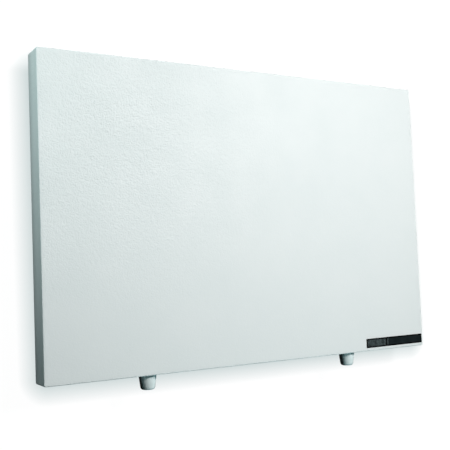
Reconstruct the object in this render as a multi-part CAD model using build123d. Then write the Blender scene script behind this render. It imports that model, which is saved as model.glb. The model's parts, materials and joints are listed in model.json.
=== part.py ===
from build123d import *
import math
import os

# Infrared panel heater that hangs on a wall frame, in millimetres.
#
# Everything is modelled as if the wall lay flat: X runs to the right along the panel, Y up
# the wall and Z out of the wall into the room. write_node() stands each piece up, so that
# in the finished part +Z is up, the wall is the plane y = 0 and the panel faces -Y.
# The origin is the centre of the wall frame's four screw holes, on the wall.

# ---- casing
panel_width = 595.0
panel_height = 400.0
panel_depth = 34.0
wall_gap = 28.0  # from the wall to the back of the casing
casing_sheet = 1.0
casing_bend = 1.6  # outside radius of the folded edges
casing_corner = 2.4  # outside radius of the four corners, seen from the front
lip_width = 14.0  # edge folded in round the open back
mitre_gap = 0.6
mitre_stop = 1.2  # from a fold to the end of a mitre

# ---- bare strip at the lower right of the front
strip_length = 110.0
strip_height = 13.4
strip_thickness = 0.5
strip_side_gap = 2.5
strip_bottom_gap = 4.5
strip_corner = 0.6

# ---- heating element: two insulating films with a flat conductor between them
film_thickness = 0.5
film_edge_gap = 9.0
film_corner = 4.0
track_thickness = 0.2
track_width = 9.0
track_rows = 22  # an even count brings both ends to the bottom row
track_side_margin = 22.0
track_end_margin = 18.5  # from the film's upper and lower edges
track_middle_gap = 5.0
reflector_thickness = 0.3

# ---- insulation board
board_edge_gap = 1.0
board_corner = 3.0
pocket_width = 116.0
pocket_height = 60.0
pocket_corner = 6.0
relief_clearance = 1.5  # round fasteners that reach into the board

# ---- rear cover
cover_sheet = 0.8
cover_inset = 3.5
cover_corner = 6.0
bead_length = 150.0
bead_width = 10.0
bead_height = 1.6
bead_offset_x = 95.0
bead_offset_y = 48.0
bead_pitch_y = 64.0
bead_rows = 3
cover_screw_radius = 1.45
cover_screw_head_radius = 3.0
cover_screw_head_height = 1.8
cover_screw_length = 6.0
cover_screws_per_row = 4

# ---- clearances
face_gap = 0.3  # between pieces that slide past each other
thread_gap = 0.1  # threads are drawn as plain cylinders
hole_gap = 0.25  # round shanks in clearance holes

# ---- hanging studs, keyholes and lift
stud_spacing_x = 380.0
stud_spacing_y = 220.0
stud_collar_radius = 7.0
stud_collar_length = 4.0
stud_neck_radius = 3.5
stud_head_radius = 6.5
stud_head_height = 3.0
stud_thread_radius = 3.0
stud_socket_radius = 2.2
stud_socket_depth = 1.8
stud_nut_radius = 5.5
stud_nut_height = 6.2
lift_travel = 14.0
keyhole_entry_gap = 1.0

# ---- wall frame
rail_sheet = 1.5
rail_bend = 1.0
rail_length = 310.0
rail_front_width = 28.0
rail_wall_width = 21.5
wall_hole_spacing_x = 330.0
wall_hole_spacing_y = 280.0
wall_hole_radius = 3.25
tie_width = 20.0
tie_offset_y = 112.0
tie_end_gap = 1.0
rivet_radius = 2.0
rivet_head_radius = 3.6
rivet_head_height = 1.2
rivet_pitch = 10.0
rivet_recess = 0.2

# ---- terminal box on the rear cover
box_width = 140.0
box_height = 64.0
box_depth = 20.0
box_wall = 2.0
box_floor = 2.0
box_lid = 2.0
box_corner = 4.0
box_x = -8.0
box_bottom_gap = 28.0  # from the casing's lower edge up to the box
boss_radius = 3.4
boss_inset = 5.6
lid_screw_radius = 1.4
lid_screw_head_radius = 2.7
lid_screw_head_height = 1.5
lid_screw_length = 8.0
lid_rib_height = 1.4
lid_rib_width = 1.2
lead_opening_width = 42.0
lead_opening_height = 42.0
lead_opening_x = -34.0
lead_opening_corner = 5.0
collar_wall = 1.6
collar_reach = 0.9
box_rivet_radius = 1.6
box_rivet_head_radius = 3.0
box_rivet_head_height = 1.1
box_rivet_tail_radius = 2.5
box_rivet_tail_height = 1.8
box_rivet_inset_x = 8.0
box_rivet_offset_y = 18.0

# ---- cable gland in the box's lower wall
gland_inset = 20.0  # from the box's right end
gland_thread_radius = 6.0
gland_flats = 15.0
gland_flange_height = 5.0
gland_thread_length = 7.5
gland_neck_length = 8.5
gland_bore_radius = 4.3
gland_nut_height = 4.0
dome_nut_height = 8.0
dome_height = 5.5
dome_mouth_radius = 4.1
dome_wall = 1.2
seal_bore_radius = 3.3
seal_length = 8.0
seal_wall = 1.4

# ---- terminal block
block_x = 10.0
pole_count = 3
pole_pitch = 11.0
block_length = 22.0
block_base_height = 8.5
tower_height = 3.2
tower_width = 8.4
tunnel_radius = 2.7
tunnel_level = 4.6  # above the block's seat
insert_wall = 0.9
insert_end_gap = 1.4
clamp_screw_radius = 1.4
clamp_screw_head_radius = 1.9
clamp_screw_offset = 5.5
clamp_well_radius = 2.2
clamp_slot_width = 0.6
block_screw_radius = 1.45
block_screw_head_radius = 2.6
block_screw_head_height = 1.5

# ---- earth terminal in the box
earth_x = -64.0
earth_stud_radius = 2.0
earth_stud_reach = 9.0
earth_head_radius = 4.0
earth_head_height = 1.0
earth_nut_flats = 7.0
earth_nut_height = 3.2
earth_washer_radius = 4.2
earth_washer_height = 0.7
lug_ring_radius = 4.2
lug_sheet = 0.8
lug_barrel_radius = 1.9
lug_barrel_length = 6.0
lug_barrel_start = 6.5

# ---- thermal cut-out on the element
cutout_x = -36.0
cutout_rise = 2.0  # above the box's middle
cutout_radius = 8.0
cutout_cap_radius = 8.6
cutout_cap_height = 2.2
cutout_body_height = 6.0
cutout_tab_offset = 9.4
strap_sheet = 0.5
strap_width = 20.0
strap_reach = 17.0

# ---- tabs, sleeves and leads
element_end_x = 36.0
tab_width = 6.3
tab_sheet = 0.8
tab_foot = 7.5
tab_rise = 7.6
tab_window_gap = 1.0
rivet_eye_radius = 1.6
sleeve_width = 7.8
sleeve_thickness = 2.6
sleeve_length = 7.4
sleeve_rise = 0.8  # from a tab's root to the sleeve
sleeve_slot_gap = 0.15
crimp_length = 4.0
crimp_wall = 0.6
lead_radius = 1.05
lead_gap = 0.1
lead_entry = 3.0  # how far a lead reaches into a terminal or a crimp
lead_crossing_drop = 2.3  # from the cover down to a lead that crosses under it
run_share = 0.45  # share of the shorter run that a lead's bend may take up

# ---- feet under the casing
foot_offset_x = 160.0
foot_top_radius = 11.5
foot_bottom_radius = 9.0
foot_height = 19.0
foot_rim_radius = 2.6
foot_bore_radius = 5.2
foot_seat_depth = 11.0
foot_screw_radius = 2.0
foot_screw_head_radius = 3.8
foot_screw_head_height = 2.2
foot_washer_radius = 4.8
foot_washer_height = 1.0
foot_nut_radius = 3.1
foot_nut_flange_radius = 4.6
foot_nut_flange_height = 0.7
foot_nut_bulge_radius = 4.2
foot_nut_bulge_height = 3.0
foot_nut_length = 10.0

# ---- levels out of the wall
casing_back = wall_gap
casing_front = casing_back + panel_depth
casing_middle = casing_back + panel_depth / 2
film_front = casing_front - casing_sheet
track_front = film_front - film_thickness
track_back = track_front - track_thickness
film_back = track_back - film_thickness
board_front = film_back - reflector_thickness
board_back = casing_back + casing_sheet
cover_out = casing_back - cover_sheet
box_rim = cover_out - (box_depth - box_lid)
box_seat = cover_out - box_floor
lid_out = box_rim - box_lid
box_middle = (box_rim + box_seat) / 2
rail_out = cover_out - stud_collar_length - face_gap
head_top = rail_out - rail_sheet - face_gap
head_end = head_top - stud_head_height
tunnel_z = box_seat - tunnel_level
block_top = box_seat - block_base_height - tower_height
cutout_top = film_back - cutout_body_height

# ---- places that several pieces share
stud_points = [(sx * stud_spacing_x / 2, sy * stud_spacing_y / 2) for sx in (-1, 1) for sy in (-1, 1)]
wall_hole_points = [
    (sx * wall_hole_spacing_x / 2, sy * wall_hole_spacing_y / 2) for sx in (-1, 1) for sy in (-1, 1)
]
box_bottom = -panel_height / 2 + box_bottom_gap
box_y = box_bottom + box_height / 2
gland_x = box_x + box_width / 2 - gland_inset
cutout_y = box_y + cutout_rise
track_top = panel_height / 2 - film_edge_gap - track_end_margin - track_width / 2
track_bottom = -track_top
track_pitch = 2 * track_top / (track_rows - 1)
lead_opening_y = box_y
lid_screw_points = [
    (box_x + sx * (box_width / 2 - boss_inset), box_y + sy * (box_height / 2 - boss_inset))
    for sx in (-1, 1)
    for sy in (-1, 1)
]
box_rivet_points = [
    (box_x + sx * (box_width / 2 - box_rivet_inset_x), box_y + sy * box_rivet_offset_y)
    for sx in (-1, 1)
    for sy in (-1, 1)
]
pole_rows = [box_y + (i - (pole_count - 1) / 2) * pole_pitch for i in range(pole_count)]
neutral_row, earth_row, live_row = pole_rows
tab_points = [
    (cutout_x, cutout_y + cutout_tab_offset, cutout_top),
    (cutout_x, cutout_y - cutout_tab_offset, cutout_top),
    (-element_end_x, track_bottom, track_back - tab_sheet),
    (element_end_x, track_bottom, track_back - tab_sheet),
]


# ---------------------------------------------------------------- shapes used all over


def slab(width, height, low, high, corner=0.0, x=0.0, y=0.0):
    """Flat plate parallel to the wall, from one level out of the wall to another."""
    outline = RectangleRounded(width, height, corner) if corner > 0 else Rectangle(width, height)
    return extrude(Pos(x, y, low) * outline, high - low)


def peg(radius, low, high, x=0.0, y=0.0):
    """Round bar or hole that points out of the wall."""
    return extrude(Pos(x, y, low) * Circle(radius), high - low)


def turned(points):
    """Ring or bar turned about Z from its half section, given as (radius, z) points."""
    section = make_face(Polyline(*[(r, 0, z) for r, z in points], close=True))
    return revolve(section, Axis.Z)


def hexagon(flats, low, high):
    """Hexagonal bar along Z with two of its flats square to Y."""
    return extrude(Pos(0, 0, low) * RegularPolygon(flats / 2, 6, major_radius=False), high - low)


def downwards(x, y, z):
    """Place where a piece turned about Z is set to point down the wall."""
    return Pos(x, y, z) * Rot(90, 0, 0)


def group(pieces):
    """Separate solids that share one node."""
    return Compound(children=[solid for piece in pieces for solid in piece.solids()])


def left_and_right(piece):
    """A piece and its mirror image across the panel's middle."""
    return [mirror(piece, about=Plane.YZ), piece]


def write_node(name, piece):
    """Stand a piece up against the wall and write it out."""
    export_step(Rot(90, 0, 0) * piece, os.path.join("parts", name + ".step"))


# ---------------------------------------------------------------- casing and cover


def cover_screw_points():
    """Screws round the rear cover, each in the middle of the casing's lip."""
    edge_x = panel_width / 2 - lip_width / 2
    edge_y = panel_height / 2 - lip_width / 2
    corner_x = edge_x - lip_width
    pitch = 2 * corner_x / (cover_screws_per_row - 1)
    rows = [(-corner_x + i * pitch, s * edge_y) for i in range(cover_screws_per_row) for s in (-1, 1)]
    return rows + [(-edge_x, 0), (edge_x, 0)]


def casing_block(inset):
    """Closed block inside the casing's skin, with the folded edges' radius all round."""
    block = slab(
        panel_width - 2 * inset, panel_height - 2 * inset, casing_back + inset, casing_front - inset,
        casing_corner - inset,
    )
    rims = block.edges().group_by(Axis.Z)
    return fillet(rims[0] + rims[-1], casing_bend - inset)


def lip_mitre(sx, sy):
    """Gap between two lips where they meet at a corner of the back."""
    inner = lip_width + mitre_gap
    outer = casing_bend + mitre_stop
    x = panel_width / 2 - (inner + outer) / 2
    y = panel_height / 2 - (inner + outer) / 2
    slot = Rot(0, 0, sx * sy * 45) * Box((inner - outer) * math.sqrt(2), mitre_gap, 2 * casing_sheet)
    return Pos(sx * x, sy * y, casing_back + casing_sheet / 2) * slot


def front_casing():
    """Folded sheet tray: the radiating front, four sides and the lip round the back."""
    opening = slab(
        panel_width - 2 * lip_width, panel_height - 2 * lip_width, casing_back, casing_back + casing_sheet
    )
    tray = casing_block(0) - casing_block(casing_sheet) - opening
    tray -= [lip_mitre(sx, sy) for sx in (-1, 1) for sy in (-1, 1)]
    pilot = cover_screw_radius + thread_gap
    tray -= [peg(pilot, casing_back, casing_back + casing_sheet, x, y) for x, y in cover_screw_points()]
    nut_hole = peg(foot_nut_radius + hole_gap, -2 * casing_sheet, casing_sheet)
    tray -= [foot_place(sx) * nut_hole for sx in (-1, 1)]
    return tray


def name_strip():
    """Bare strip stuck on the lower right corner of the front."""
    x = panel_width / 2 - strip_side_gap - strip_length / 2
    y = -panel_height / 2 + strip_bottom_gap + strip_height / 2
    return slab(strip_length, strip_height, casing_front, casing_front + strip_thickness, strip_corner, x, y)


def bead_points():
    """Middles of the stiffening beads pressed in the rear cover."""
    heights = [bead_offset_y + (i - 1) * bead_pitch_y for i in range(bead_rows)]
    return [(sx * bead_offset_x, y) for sx in (-1, 1) for y in heights]


def rear_cover():
    """Sheet that closes the back, with pressed beads, on the casing's lip."""
    cover = slab(
        panel_width - 2 * cover_inset, panel_height - 2 * cover_inset, cover_out, casing_back, cover_corner
    )
    bead = extrude(Pos(0, 0, cover_out - bead_height) * SlotOverall(bead_length, bead_width), bead_height)
    bead = fillet(bead.faces().sort_by(Axis.Z)[0].edges(), bead_height * 0.9)
    hollow = extrude(
        Pos(0, 0, cover_out - bead_height + cover_sheet)
        * SlotOverall(bead_length - 2 * cover_sheet, bead_width - 2 * cover_sheet),
        bead_height,
    )
    cover += [Pos(x, y, 0) * bead for x, y in bead_points()]
    cover -= [Pos(x, y, 0) * hollow for x, y in bead_points()]
    cover -= slab(
        lead_opening_width, lead_opening_height, cover_out, casing_back, lead_opening_corner,
        lead_opening_x, lead_opening_y,
    )
    holes = [(cover_screw_radius, cover_screw_points()), (stud_thread_radius, stud_points)]
    holes += [(box_rivet_radius, box_rivet_points), (earth_stud_radius, [(earth_x, box_y)])]
    for radius, points in holes:
        cover -= [peg(radius + hole_gap, cover_out, casing_back, x, y) for x, y in points]
    return cover


def pan_screw(shank_radius, head_radius, head_height, length):
    """Cross-recessed pan-head screw with its head's seat at z = 0 and its shank along +Z."""
    head = turned([(0, -head_height), (head_radius * 0.7, -head_height),
                   (head_radius, -head_height * 0.45), (head_radius, 0), (0, 0)])
    shank = peg(shank_radius, 0, length)
    recess_depth = head_height * 0.6
    slot = Pos(0, 0, recess_depth / 2 - head_height) * Box(head_radius, head_radius * 0.24, recess_depth)
    return head + shank - slot - Rot(0, 0, 90) * slot


def rear_cover_screws():
    """Screws that hold the rear cover to the casing's lip."""
    screw = pan_screw(
        cover_screw_radius, cover_screw_head_radius, cover_screw_head_height, cover_screw_length
    )
    return group([Pos(x, y, cover_out) * screw for x, y in cover_screw_points()])


# ---------------------------------------------------------------- heating element


def tab_window(x):
    """Opening in a layer where a tab reaches the end of the conductor."""
    side = tab_foot + 2 * tab_window_gap
    return slab(side, side, board_front, track_back, 0, x, track_bottom)


def cutout_window():
    """Opening in the reflector where the cut-out sits on the element."""
    radius = cutout_cap_radius + tab_window_gap
    window = peg(radius, board_front, film_back, cutout_x, cutout_y)
    return window + slab(
        2 * (strap_reach + tab_window_gap), strap_width + 2 * tab_window_gap, board_front, film_back,
        0, cutout_x, cutout_y,
    )


def film(low, high):
    """Insulating film as large as the heated area."""
    return slab(
        panel_width - 2 * film_edge_gap, panel_height - 2 * film_edge_gap, low, high, film_corner
    )


def element_rear_film():
    """Rear film, open where the tabs meet the conductor."""
    return film(film_back, track_back) - [tab_window(s * element_end_x) for s in (-1, 1)]


def reflector():
    """Bright foil that throws the heat forward, open round the tabs and the cut-out."""
    foil = film(board_front, film_back) - [tab_window(s * element_end_x) for s in (-1, 1)]
    return foil - cutout_window()


def track_half_path():
    """Middle line of the left half of the conductor, from its end tab to the top row's middle."""
    bend = track_pitch / 2
    far = panel_width / 2 - track_side_margin - bend
    near = track_middle_gap / 2 + track_width / 2 + bend
    last = track_rows - 1
    pieces = []
    for row in range(track_rows):
        y = track_bottom + row * track_pitch
        inner = element_end_x if row == 0 else (0 if row == last else near)
        pieces.append(Line((-inner, y), (-far, y)))
        if row < last:
            outwards = row % 2 == 0
            x = -far if outwards else -near
            tip = x - bend if outwards else x + bend
            pieces.append(ThreePointArc((x, y), (tip, y + bend), (x, y + track_pitch)))
    return Curve() + pieces


def heating_track():
    """One unbroken flat conductor that winds over both halves of the panel."""
    outline = trace(track_half_path(), line_width=track_width)
    outline += Pos(-element_end_x, track_bottom) * Circle(track_width / 2)
    half = extrude(Pos(0, 0, track_back) * outline, track_thickness)
    return half + mirror(half, about=Plane.YZ)


def element_tab(x):
    """Angle tab riveted to one end of the conductor."""
    foot = slab(tab_width, tab_foot, track_back - tab_sheet, track_back, 0, x, track_bottom)
    blade_y = track_bottom
    blade = slab(tab_width, tab_sheet, track_back - tab_sheet - tab_rise, track_back, 0, x, blade_y)
    eye_y = track_bottom + tab_foot / 4 + tab_sheet / 4
    eye = peg(rivet_eye_radius, track_back - 2 * tab_sheet, track_back, x, eye_y)
    return foot + blade + eye


def insulation_board():
    """Thick board behind the reflector, cut away round everything that reaches into it."""
    board = slab(
        panel_width - 2 * (casing_sheet + board_edge_gap), panel_height - 2 * (casing_sheet + board_edge_gap),
        board_back, board_front, board_corner,
    )
    board -= slab(
        pocket_width, pocket_height, board_back, board_front, pocket_corner, 0, box_y - pocket_shift()
    )
    reliefs = [
        (cover_screw_radius, casing_back - cover_sheet + cover_screw_length, cover_screw_points()),
        (stud_nut_radius, casing_back + stud_nut_height, stud_points),
        (box_rivet_tail_radius, casing_back + box_rivet_tail_height, box_rivet_points),
        (earth_head_radius, casing_back + earth_head_height, [(earth_x, box_y)]),
    ]
    for radius, depth, points in reliefs:
        end = depth + relief_clearance
        board -= [peg(radius + relief_clearance, board_back, end, x, y) for x, y in points]
    notch_width = 2 * (foot_nut_bulge_radius + relief_clearance)
    notch_height = foot_nut_length + relief_clearance
    notch_y = -panel_height / 2 + notch_height / 2
    board -= [
        slab(notch_width, notch_height, board_back, board_front, 0, s * foot_offset_x, notch_y)
        for s in (-1, 1)
    ]
    return board


def pocket_shift():
    """How far the board's pocket sits below the terminal box, to take in the track's ends."""
    return (box_y - track_bottom) - (pocket_height / 2 - tab_foot)


# ---------------------------------------------------------------- thermal cut-out


def thermal_cutout():
    """Round bimetal cut-out: metal cap on the element, moulded body and two upright tabs."""
    body = turned([
        (0, film_back), (cutout_cap_radius, film_back), (cutout_cap_radius, film_back - cutout_cap_height),
        (cutout_radius, film_back - cutout_cap_height), (cutout_radius, cutout_top), (0, cutout_top),
    ])
    for side in (-1, 1):
        reach = cutout_tab_offset + tab_sheet / 2
        arm = slab(tab_width, reach, cutout_top - tab_sheet, cutout_top, 0, 0, side * reach / 2)
        blade = slab(
            tab_width, tab_sheet, cutout_top - tab_rise, cutout_top, 0, 0, side * cutout_tab_offset
        )
        body += arm + blade
    return Pos(cutout_x, cutout_y, 0) * body


def cutout_strap():
    """Spring strap over the cap's shoulder, bonded to the element at both ends."""
    shoulder = film_back - cutout_cap_height
    crown = slab(2 * (cutout_cap_radius + 2 * strap_sheet), strap_width, shoulder - strap_sheet, shoulder)
    crown -= peg(cutout_radius + hole_gap, shoulder - strap_sheet, shoulder)
    side_x = cutout_cap_radius + 1.5 * strap_sheet
    ear_length = strap_reach - side_x + strap_sheet / 2
    for side in (-1, 1):
        leg = slab(strap_sheet, strap_width, shoulder - strap_sheet, film_back, 0, side * side_x)
        ear = slab(
            ear_length, strap_width, film_back - strap_sheet, film_back, 0,
            side * (side_x - strap_sheet / 2 + ear_length / 2),
        )
        crown += leg + ear
    return Pos(cutout_x, cutout_y, 0) * crown


def push_on_sleeve(x, y, root):
    """Folded push-on terminal on an upright tab, with the crimp for its lead."""
    low = root - sleeve_rise
    top = low - sleeve_length
    shell = slab(sleeve_width, sleeve_thickness, top, low, sleeve_thickness * 0.3)
    slot = slab(
        tab_width + 2 * sleeve_slot_gap, tab_sheet + 2 * sleeve_slot_gap,
        root - tab_rise - sleeve_slot_gap, low,
    )
    crimp = peg(lead_radius + lead_gap + crimp_wall, top - crimp_length, top)
    bore = peg(lead_radius + lead_gap, top - crimp_length, top - crimp_length + lead_entry + lead_gap)
    return Pos(x, y, 0) * (shell - slot + crimp - bore)


def crimp_mouth(root):
    """Level of the open end of a sleeve's crimp."""
    return root - sleeve_rise - sleeve_length - crimp_length


# ---------------------------------------------------------------- terminal box


def terminal_box():
    """Moulded box with screw bosses, gland hole and a collar that lines the cover's opening."""
    box = slab(box_width, box_height, box_rim, cover_out, box_corner, box_x, box_y)
    cavity = slab(
        box_width - 2 * box_wall, box_height - 2 * box_wall, box_rim, box_seat, box_corner - box_wall,
        box_x, box_y,
    )
    box -= cavity
    boss_low = box_rim + lid_rib_height + face_gap
    box += [peg(boss_radius, boss_low, box_seat, x, y) for x, y in lid_screw_points]
    pilot = lid_screw_radius + thread_gap
    box -= [peg(pilot, boss_low, boss_low + lid_screw_length, x, y) for x, y in lid_screw_points]
    outer_width = lead_opening_width - 2 * hole_gap
    outer_height = lead_opening_height - 2 * hole_gap
    box += slab(
        outer_width, outer_height, box_seat, casing_back + collar_reach, lead_opening_corner,
        lead_opening_x, lead_opening_y,
    )
    box -= slab(
        outer_width - 2 * collar_wall, outer_height - 2 * collar_wall, box_seat, casing_back + collar_reach,
        lead_opening_corner - collar_wall, lead_opening_x, lead_opening_y,
    )
    box -= [peg(box_rivet_radius + hole_gap, box_seat, cover_out, x, y) for x, y in box_rivet_points]
    box -= peg(earth_stud_radius + hole_gap, box_seat, cover_out, earth_x, box_y)
    box -= [peg(block_screw_radius - thread_gap, box_seat, cover_out, block_x, y) for y in block_screw_rows()]
    gland_hole = peg(gland_thread_radius + hole_gap, -2 * box_wall, 0)
    return box - gland_place() * gland_hole


def terminal_box_lid():
    """Flat lid with a chamfered edge and a rib that drops inside the box's walls."""
    lid = slab(box_width, box_height, lid_out, box_rim, box_corner, box_x, box_y)
    lid = chamfer(lid.faces().sort_by(Axis.Z)[0].edges(), box_lid * 0.4)
    rib_width = box_width - 2 * box_wall - 2 * face_gap
    rib_height = box_height - 2 * box_wall - 2 * face_gap
    corner = box_corner - box_wall - face_gap
    rib = slab(rib_width, rib_height, box_rim, box_rim + lid_rib_height, corner, box_x, box_y)
    rib -= slab(
        rib_width - 2 * lid_rib_width, rib_height - 2 * lid_rib_width, box_rim, box_rim + lid_rib_height,
        0, box_x, box_y,
    )
    nut_room = gland_flats / math.cos(math.pi / 6) + 2 * hole_gap
    rib -= slab(nut_room, box_height, box_rim, box_rim + lid_rib_height, 0, gland_x, box_bottom)
    rib += [peg(boss_radius, box_rim, box_rim + lid_rib_height, x, y) for x, y in lid_screw_points]
    lid += rib
    hole = lid_screw_radius + hole_gap
    return lid - [peg(hole, lid_out, box_rim + lid_rib_height, x, y) for x, y in lid_screw_points]


def lid_screws():
    """Screws that hold the lid to the box's bosses."""
    length = box_lid + lid_rib_height + lid_screw_length - face_gap
    screw = pan_screw(lid_screw_radius, lid_screw_head_radius, lid_screw_head_height, length)
    return group([Pos(x, y, lid_out) * screw for x, y in lid_screw_points])


def box_rivets():
    """Blind rivets through the box's floor and the rear cover."""
    head_top = box_seat - box_rivet_head_height
    tail_end = casing_back + box_rivet_tail_height
    rivet = turned([
        (0, head_top), (box_rivet_head_radius * 0.6, head_top), (box_rivet_head_radius, box_seat),
        (box_rivet_radius, box_seat), (box_rivet_radius, casing_back), (box_rivet_tail_radius, casing_back),
        (box_rivet_tail_radius, tail_end), (0, tail_end),
    ])
    return group([Pos(x, y, 0) * rivet for x, y in box_rivet_points])


# ---------------------------------------------------------------- cable gland


def gland_place():
    """The gland's own frame: on the box's lower wall, with Z pointing down out of the box."""
    return downwards(gland_x, box_bottom, box_middle)


def gland_body():
    """Threaded body with its hexagon, clamped in the wall, and the seat for the seal."""
    neck_end = gland_flange_height + gland_neck_length
    body = hexagon(gland_flats, 0, gland_flange_height)
    body += peg(gland_thread_radius, -gland_thread_length, 0)
    body += peg(gland_thread_radius, gland_flange_height, neck_end)
    seat = seal_bore_radius + seal_wall + hole_gap
    body -= peg(gland_bore_radius, -gland_thread_length, neck_end)
    body -= peg(seat, neck_end - seal_length + seal_wall, neck_end)
    return gland_place() * body


def gland_locknut():
    """Thin nut inside the box's wall."""
    low = -box_wall - gland_nut_height
    nut = hexagon(gland_flats, low, -box_wall)
    return gland_place() * (nut - peg(gland_thread_radius + thread_gap, low, -box_wall))


def gland_seal():
    """Rubber ring that closes on the cable."""
    start = gland_flange_height + gland_neck_length - seal_length + seal_wall
    outer = seal_bore_radius + seal_wall
    ring = peg(outer, start, start + seal_length) - peg(seal_bore_radius, start, start + seal_length)
    return gland_place() * ring


def gland_dome_nut():
    """Domed nut that squeezes the seal."""
    low = gland_flange_height + face_gap
    shoulder = low + dome_nut_height
    top = shoulder + dome_height
    outer = gland_flats / 2
    nut = hexagon(gland_flats, low, shoulder)
    nut += turned([(0, shoulder), (outer, shoulder), (outer - dome_wall, shoulder + dome_height * 0.6),
                   (dome_mouth_radius + dome_wall, top), (0, top)])
    thread = gland_thread_radius + thread_gap
    throat = gland_flange_height + gland_neck_length + face_gap
    inner_top = top - dome_wall
    nut -= turned([(0, low), (thread, low), (thread, throat), (dome_mouth_radius + dome_wall, inner_top),
                   (dome_mouth_radius, inner_top), (dome_mouth_radius, top), (0, top)])
    return gland_place() * nut


# ---------------------------------------------------------------- terminal block and earth


def block_screw_rows():
    """Two fixing screws, each between two poles."""
    return [(a + b) / 2 for a, b in zip(pole_rows, pole_rows[1:])]


def along_block(radius, length, y):
    """Round bar along X through the middle of a pole."""
    return Pos(block_x, y, tunnel_z) * Rot(0, 90, 0) * Cylinder(radius, length)


def clamp_points():
    """Clamping screws, two on each pole."""
    return [(block_x + s * clamp_screw_offset, y) for y in pole_rows for s in (-1, 1)]


def terminal_block():
    """Three-pole moulding: a base with one raised tower a pole, its tunnels and screw wells."""
    base_top = box_seat - block_base_height
    block_width = pole_count * pole_pitch
    block = slab(block_length, block_width, base_top, box_seat, 1.0, block_x, box_y)
    for y in pole_rows:
        tower = slab(block_length - 2, tower_width, block_top, base_top, 1.6, block_x, y)
        block += tower
    block -= [along_block(tunnel_radius, block_length, y) for y in pole_rows]
    block -= [peg(clamp_well_radius, block_top, tunnel_z, x, y) for x, y in clamp_points()]
    screw_hole = block_screw_radius + hole_gap
    head_hole = block_screw_head_radius + hole_gap
    for y in block_screw_rows():
        block -= peg(screw_hole, base_top, box_seat, block_x, y)
        block -= peg(head_hole, block_top, base_top, block_x, y)
    return block


def terminal_inserts():
    """Brass tubes that the wires are clamped in."""
    outer = tunnel_radius - face_gap / 2
    inserts = []
    for y in pole_rows:
        tube = along_block(outer, block_length - 2 * insert_end_gap, y)
        tube -= along_block(outer - insert_wall, block_length, y)
        hole = clamp_screw_radius + thread_gap
        tube -= [peg(hole, block_top, tunnel_z, block_x + s * clamp_screw_offset, y) for s in (-1, 1)]
        inserts.append(tube)
    return group(inserts)


def clamp_screw():
    """Slotted cheese-head screw down to the wire, from the bottom of its well."""
    wire_top = tunnel_z - lead_radius - lead_gap
    insert_top = tunnel_z - tunnel_radius + face_gap / 2
    head_top = insert_top - face_gap - clamp_screw_radius
    screw = peg(clamp_screw_radius, insert_top - face_gap, wire_top)
    screw += peg(clamp_screw_head_radius, head_top, insert_top - face_gap)
    depth = clamp_screw_radius / 2
    return screw - Pos(0, 0, head_top + depth / 2) * Box(
        2 * clamp_screw_head_radius, clamp_slot_width, depth
    )


def terminal_screws():
    """The six clamping screws."""
    screw = clamp_screw()
    return group([Pos(x, y, 0) * screw for x, y in clamp_points()])


def block_screws():
    """Screws that hold the terminal block to the box's floor."""
    length = block_base_height + box_floor - face_gap
    shank = block_screw_radius - 2 * thread_gap
    screw = pan_screw(shank, block_screw_head_radius, block_screw_head_height, length)
    seat = box_seat - block_base_height
    return group([Pos(block_x, y, seat) * screw for y in block_screw_rows()])


def earth_stud():
    """Stud pressed in the rear cover, through the box's floor."""
    stud = peg(earth_stud_radius, box_seat - earth_stud_reach, casing_back, earth_x, box_y)
    return stud + peg(earth_head_radius, casing_back, casing_back + earth_head_height, earth_x, box_y)


def earth_lug():
    """Ring tongue with the crimp for the earth lead, pointing at the terminal block."""
    ring = peg(lug_ring_radius, box_seat - lug_sheet, box_seat)
    tongue_length = lug_barrel_start + 1.0
    ring += slab(tongue_length, lug_barrel_radius * 2, box_seat - lug_sheet, box_seat, 0, tongue_length / 2)
    level = box_seat - lug_barrel_radius
    barrel = Rot(0, 90, 0) * Cylinder(lug_barrel_radius, lug_barrel_length)
    bore = Rot(0, 90, 0) * Cylinder(lead_radius + lead_gap, lug_barrel_length)
    place = Pos(lug_barrel_start + lug_barrel_length / 2, 0, level)
    lug = ring + place * barrel - place * bore
    lug -= peg(earth_stud_radius + hole_gap, box_seat - lug_sheet, box_seat)
    return Pos(earth_x, box_y, 0) * lug


def earth_nut():
    """Nut and washer that clamp the lug, as they sit on the stud."""
    washer_top = box_seat - lug_sheet - earth_washer_height
    washer = peg(earth_washer_radius, washer_top, box_seat - lug_sheet)
    nut = hexagon(earth_nut_flats, washer_top - earth_nut_height, washer_top)
    bore = peg(earth_stud_radius + thread_gap, washer_top - earth_nut_height, box_seat)
    return group([Pos(earth_x, box_y, 0) * (piece - bore) for piece in (washer, nut)])


# ---------------------------------------------------------------- leads


def lead(points):
    """Insulated lead along straight runs joined by arcs as large as the runs allow."""
    corners = [Vector(*p) for p in points]
    radii = []
    for before, corner, after in zip(corners, corners[1:], corners[2:]):
        run_in, run_out = corner - before, after - corner
        half_turn = math.radians(run_in.get_angle(run_out)) / 2
        radii.append(run_share * min(run_in.length, run_out.length) / math.tan(half_turn))
    route = FilletPolyline(*corners, radius=radii)
    section = Plane(origin=route @ 0, z_dir=route % 0) * Circle(lead_radius)
    tube = sweep(section, path=route)
    filled = tube.volume / (math.pi * lead_radius**2 * route.length)
    print(f"lead {route.length:.0f} mm, least bend radius {min(radii):.1f} mm, volume ratio {filled:.4f}")
    return tube


def block_mouth():
    """Where the leads enter the block's left side, inside the inserts."""
    return block_x - block_length / 2 + lead_entry


def live_lead():
    """From the block's live pole to the cut-out's upper tab."""
    x, y, root = tab_points[0]
    return lead([
        (block_mouth(), live_row, tunnel_z),
        (x, y, tunnel_z),
        (x, y, crimp_mouth(root) + lead_entry),
    ])


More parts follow.
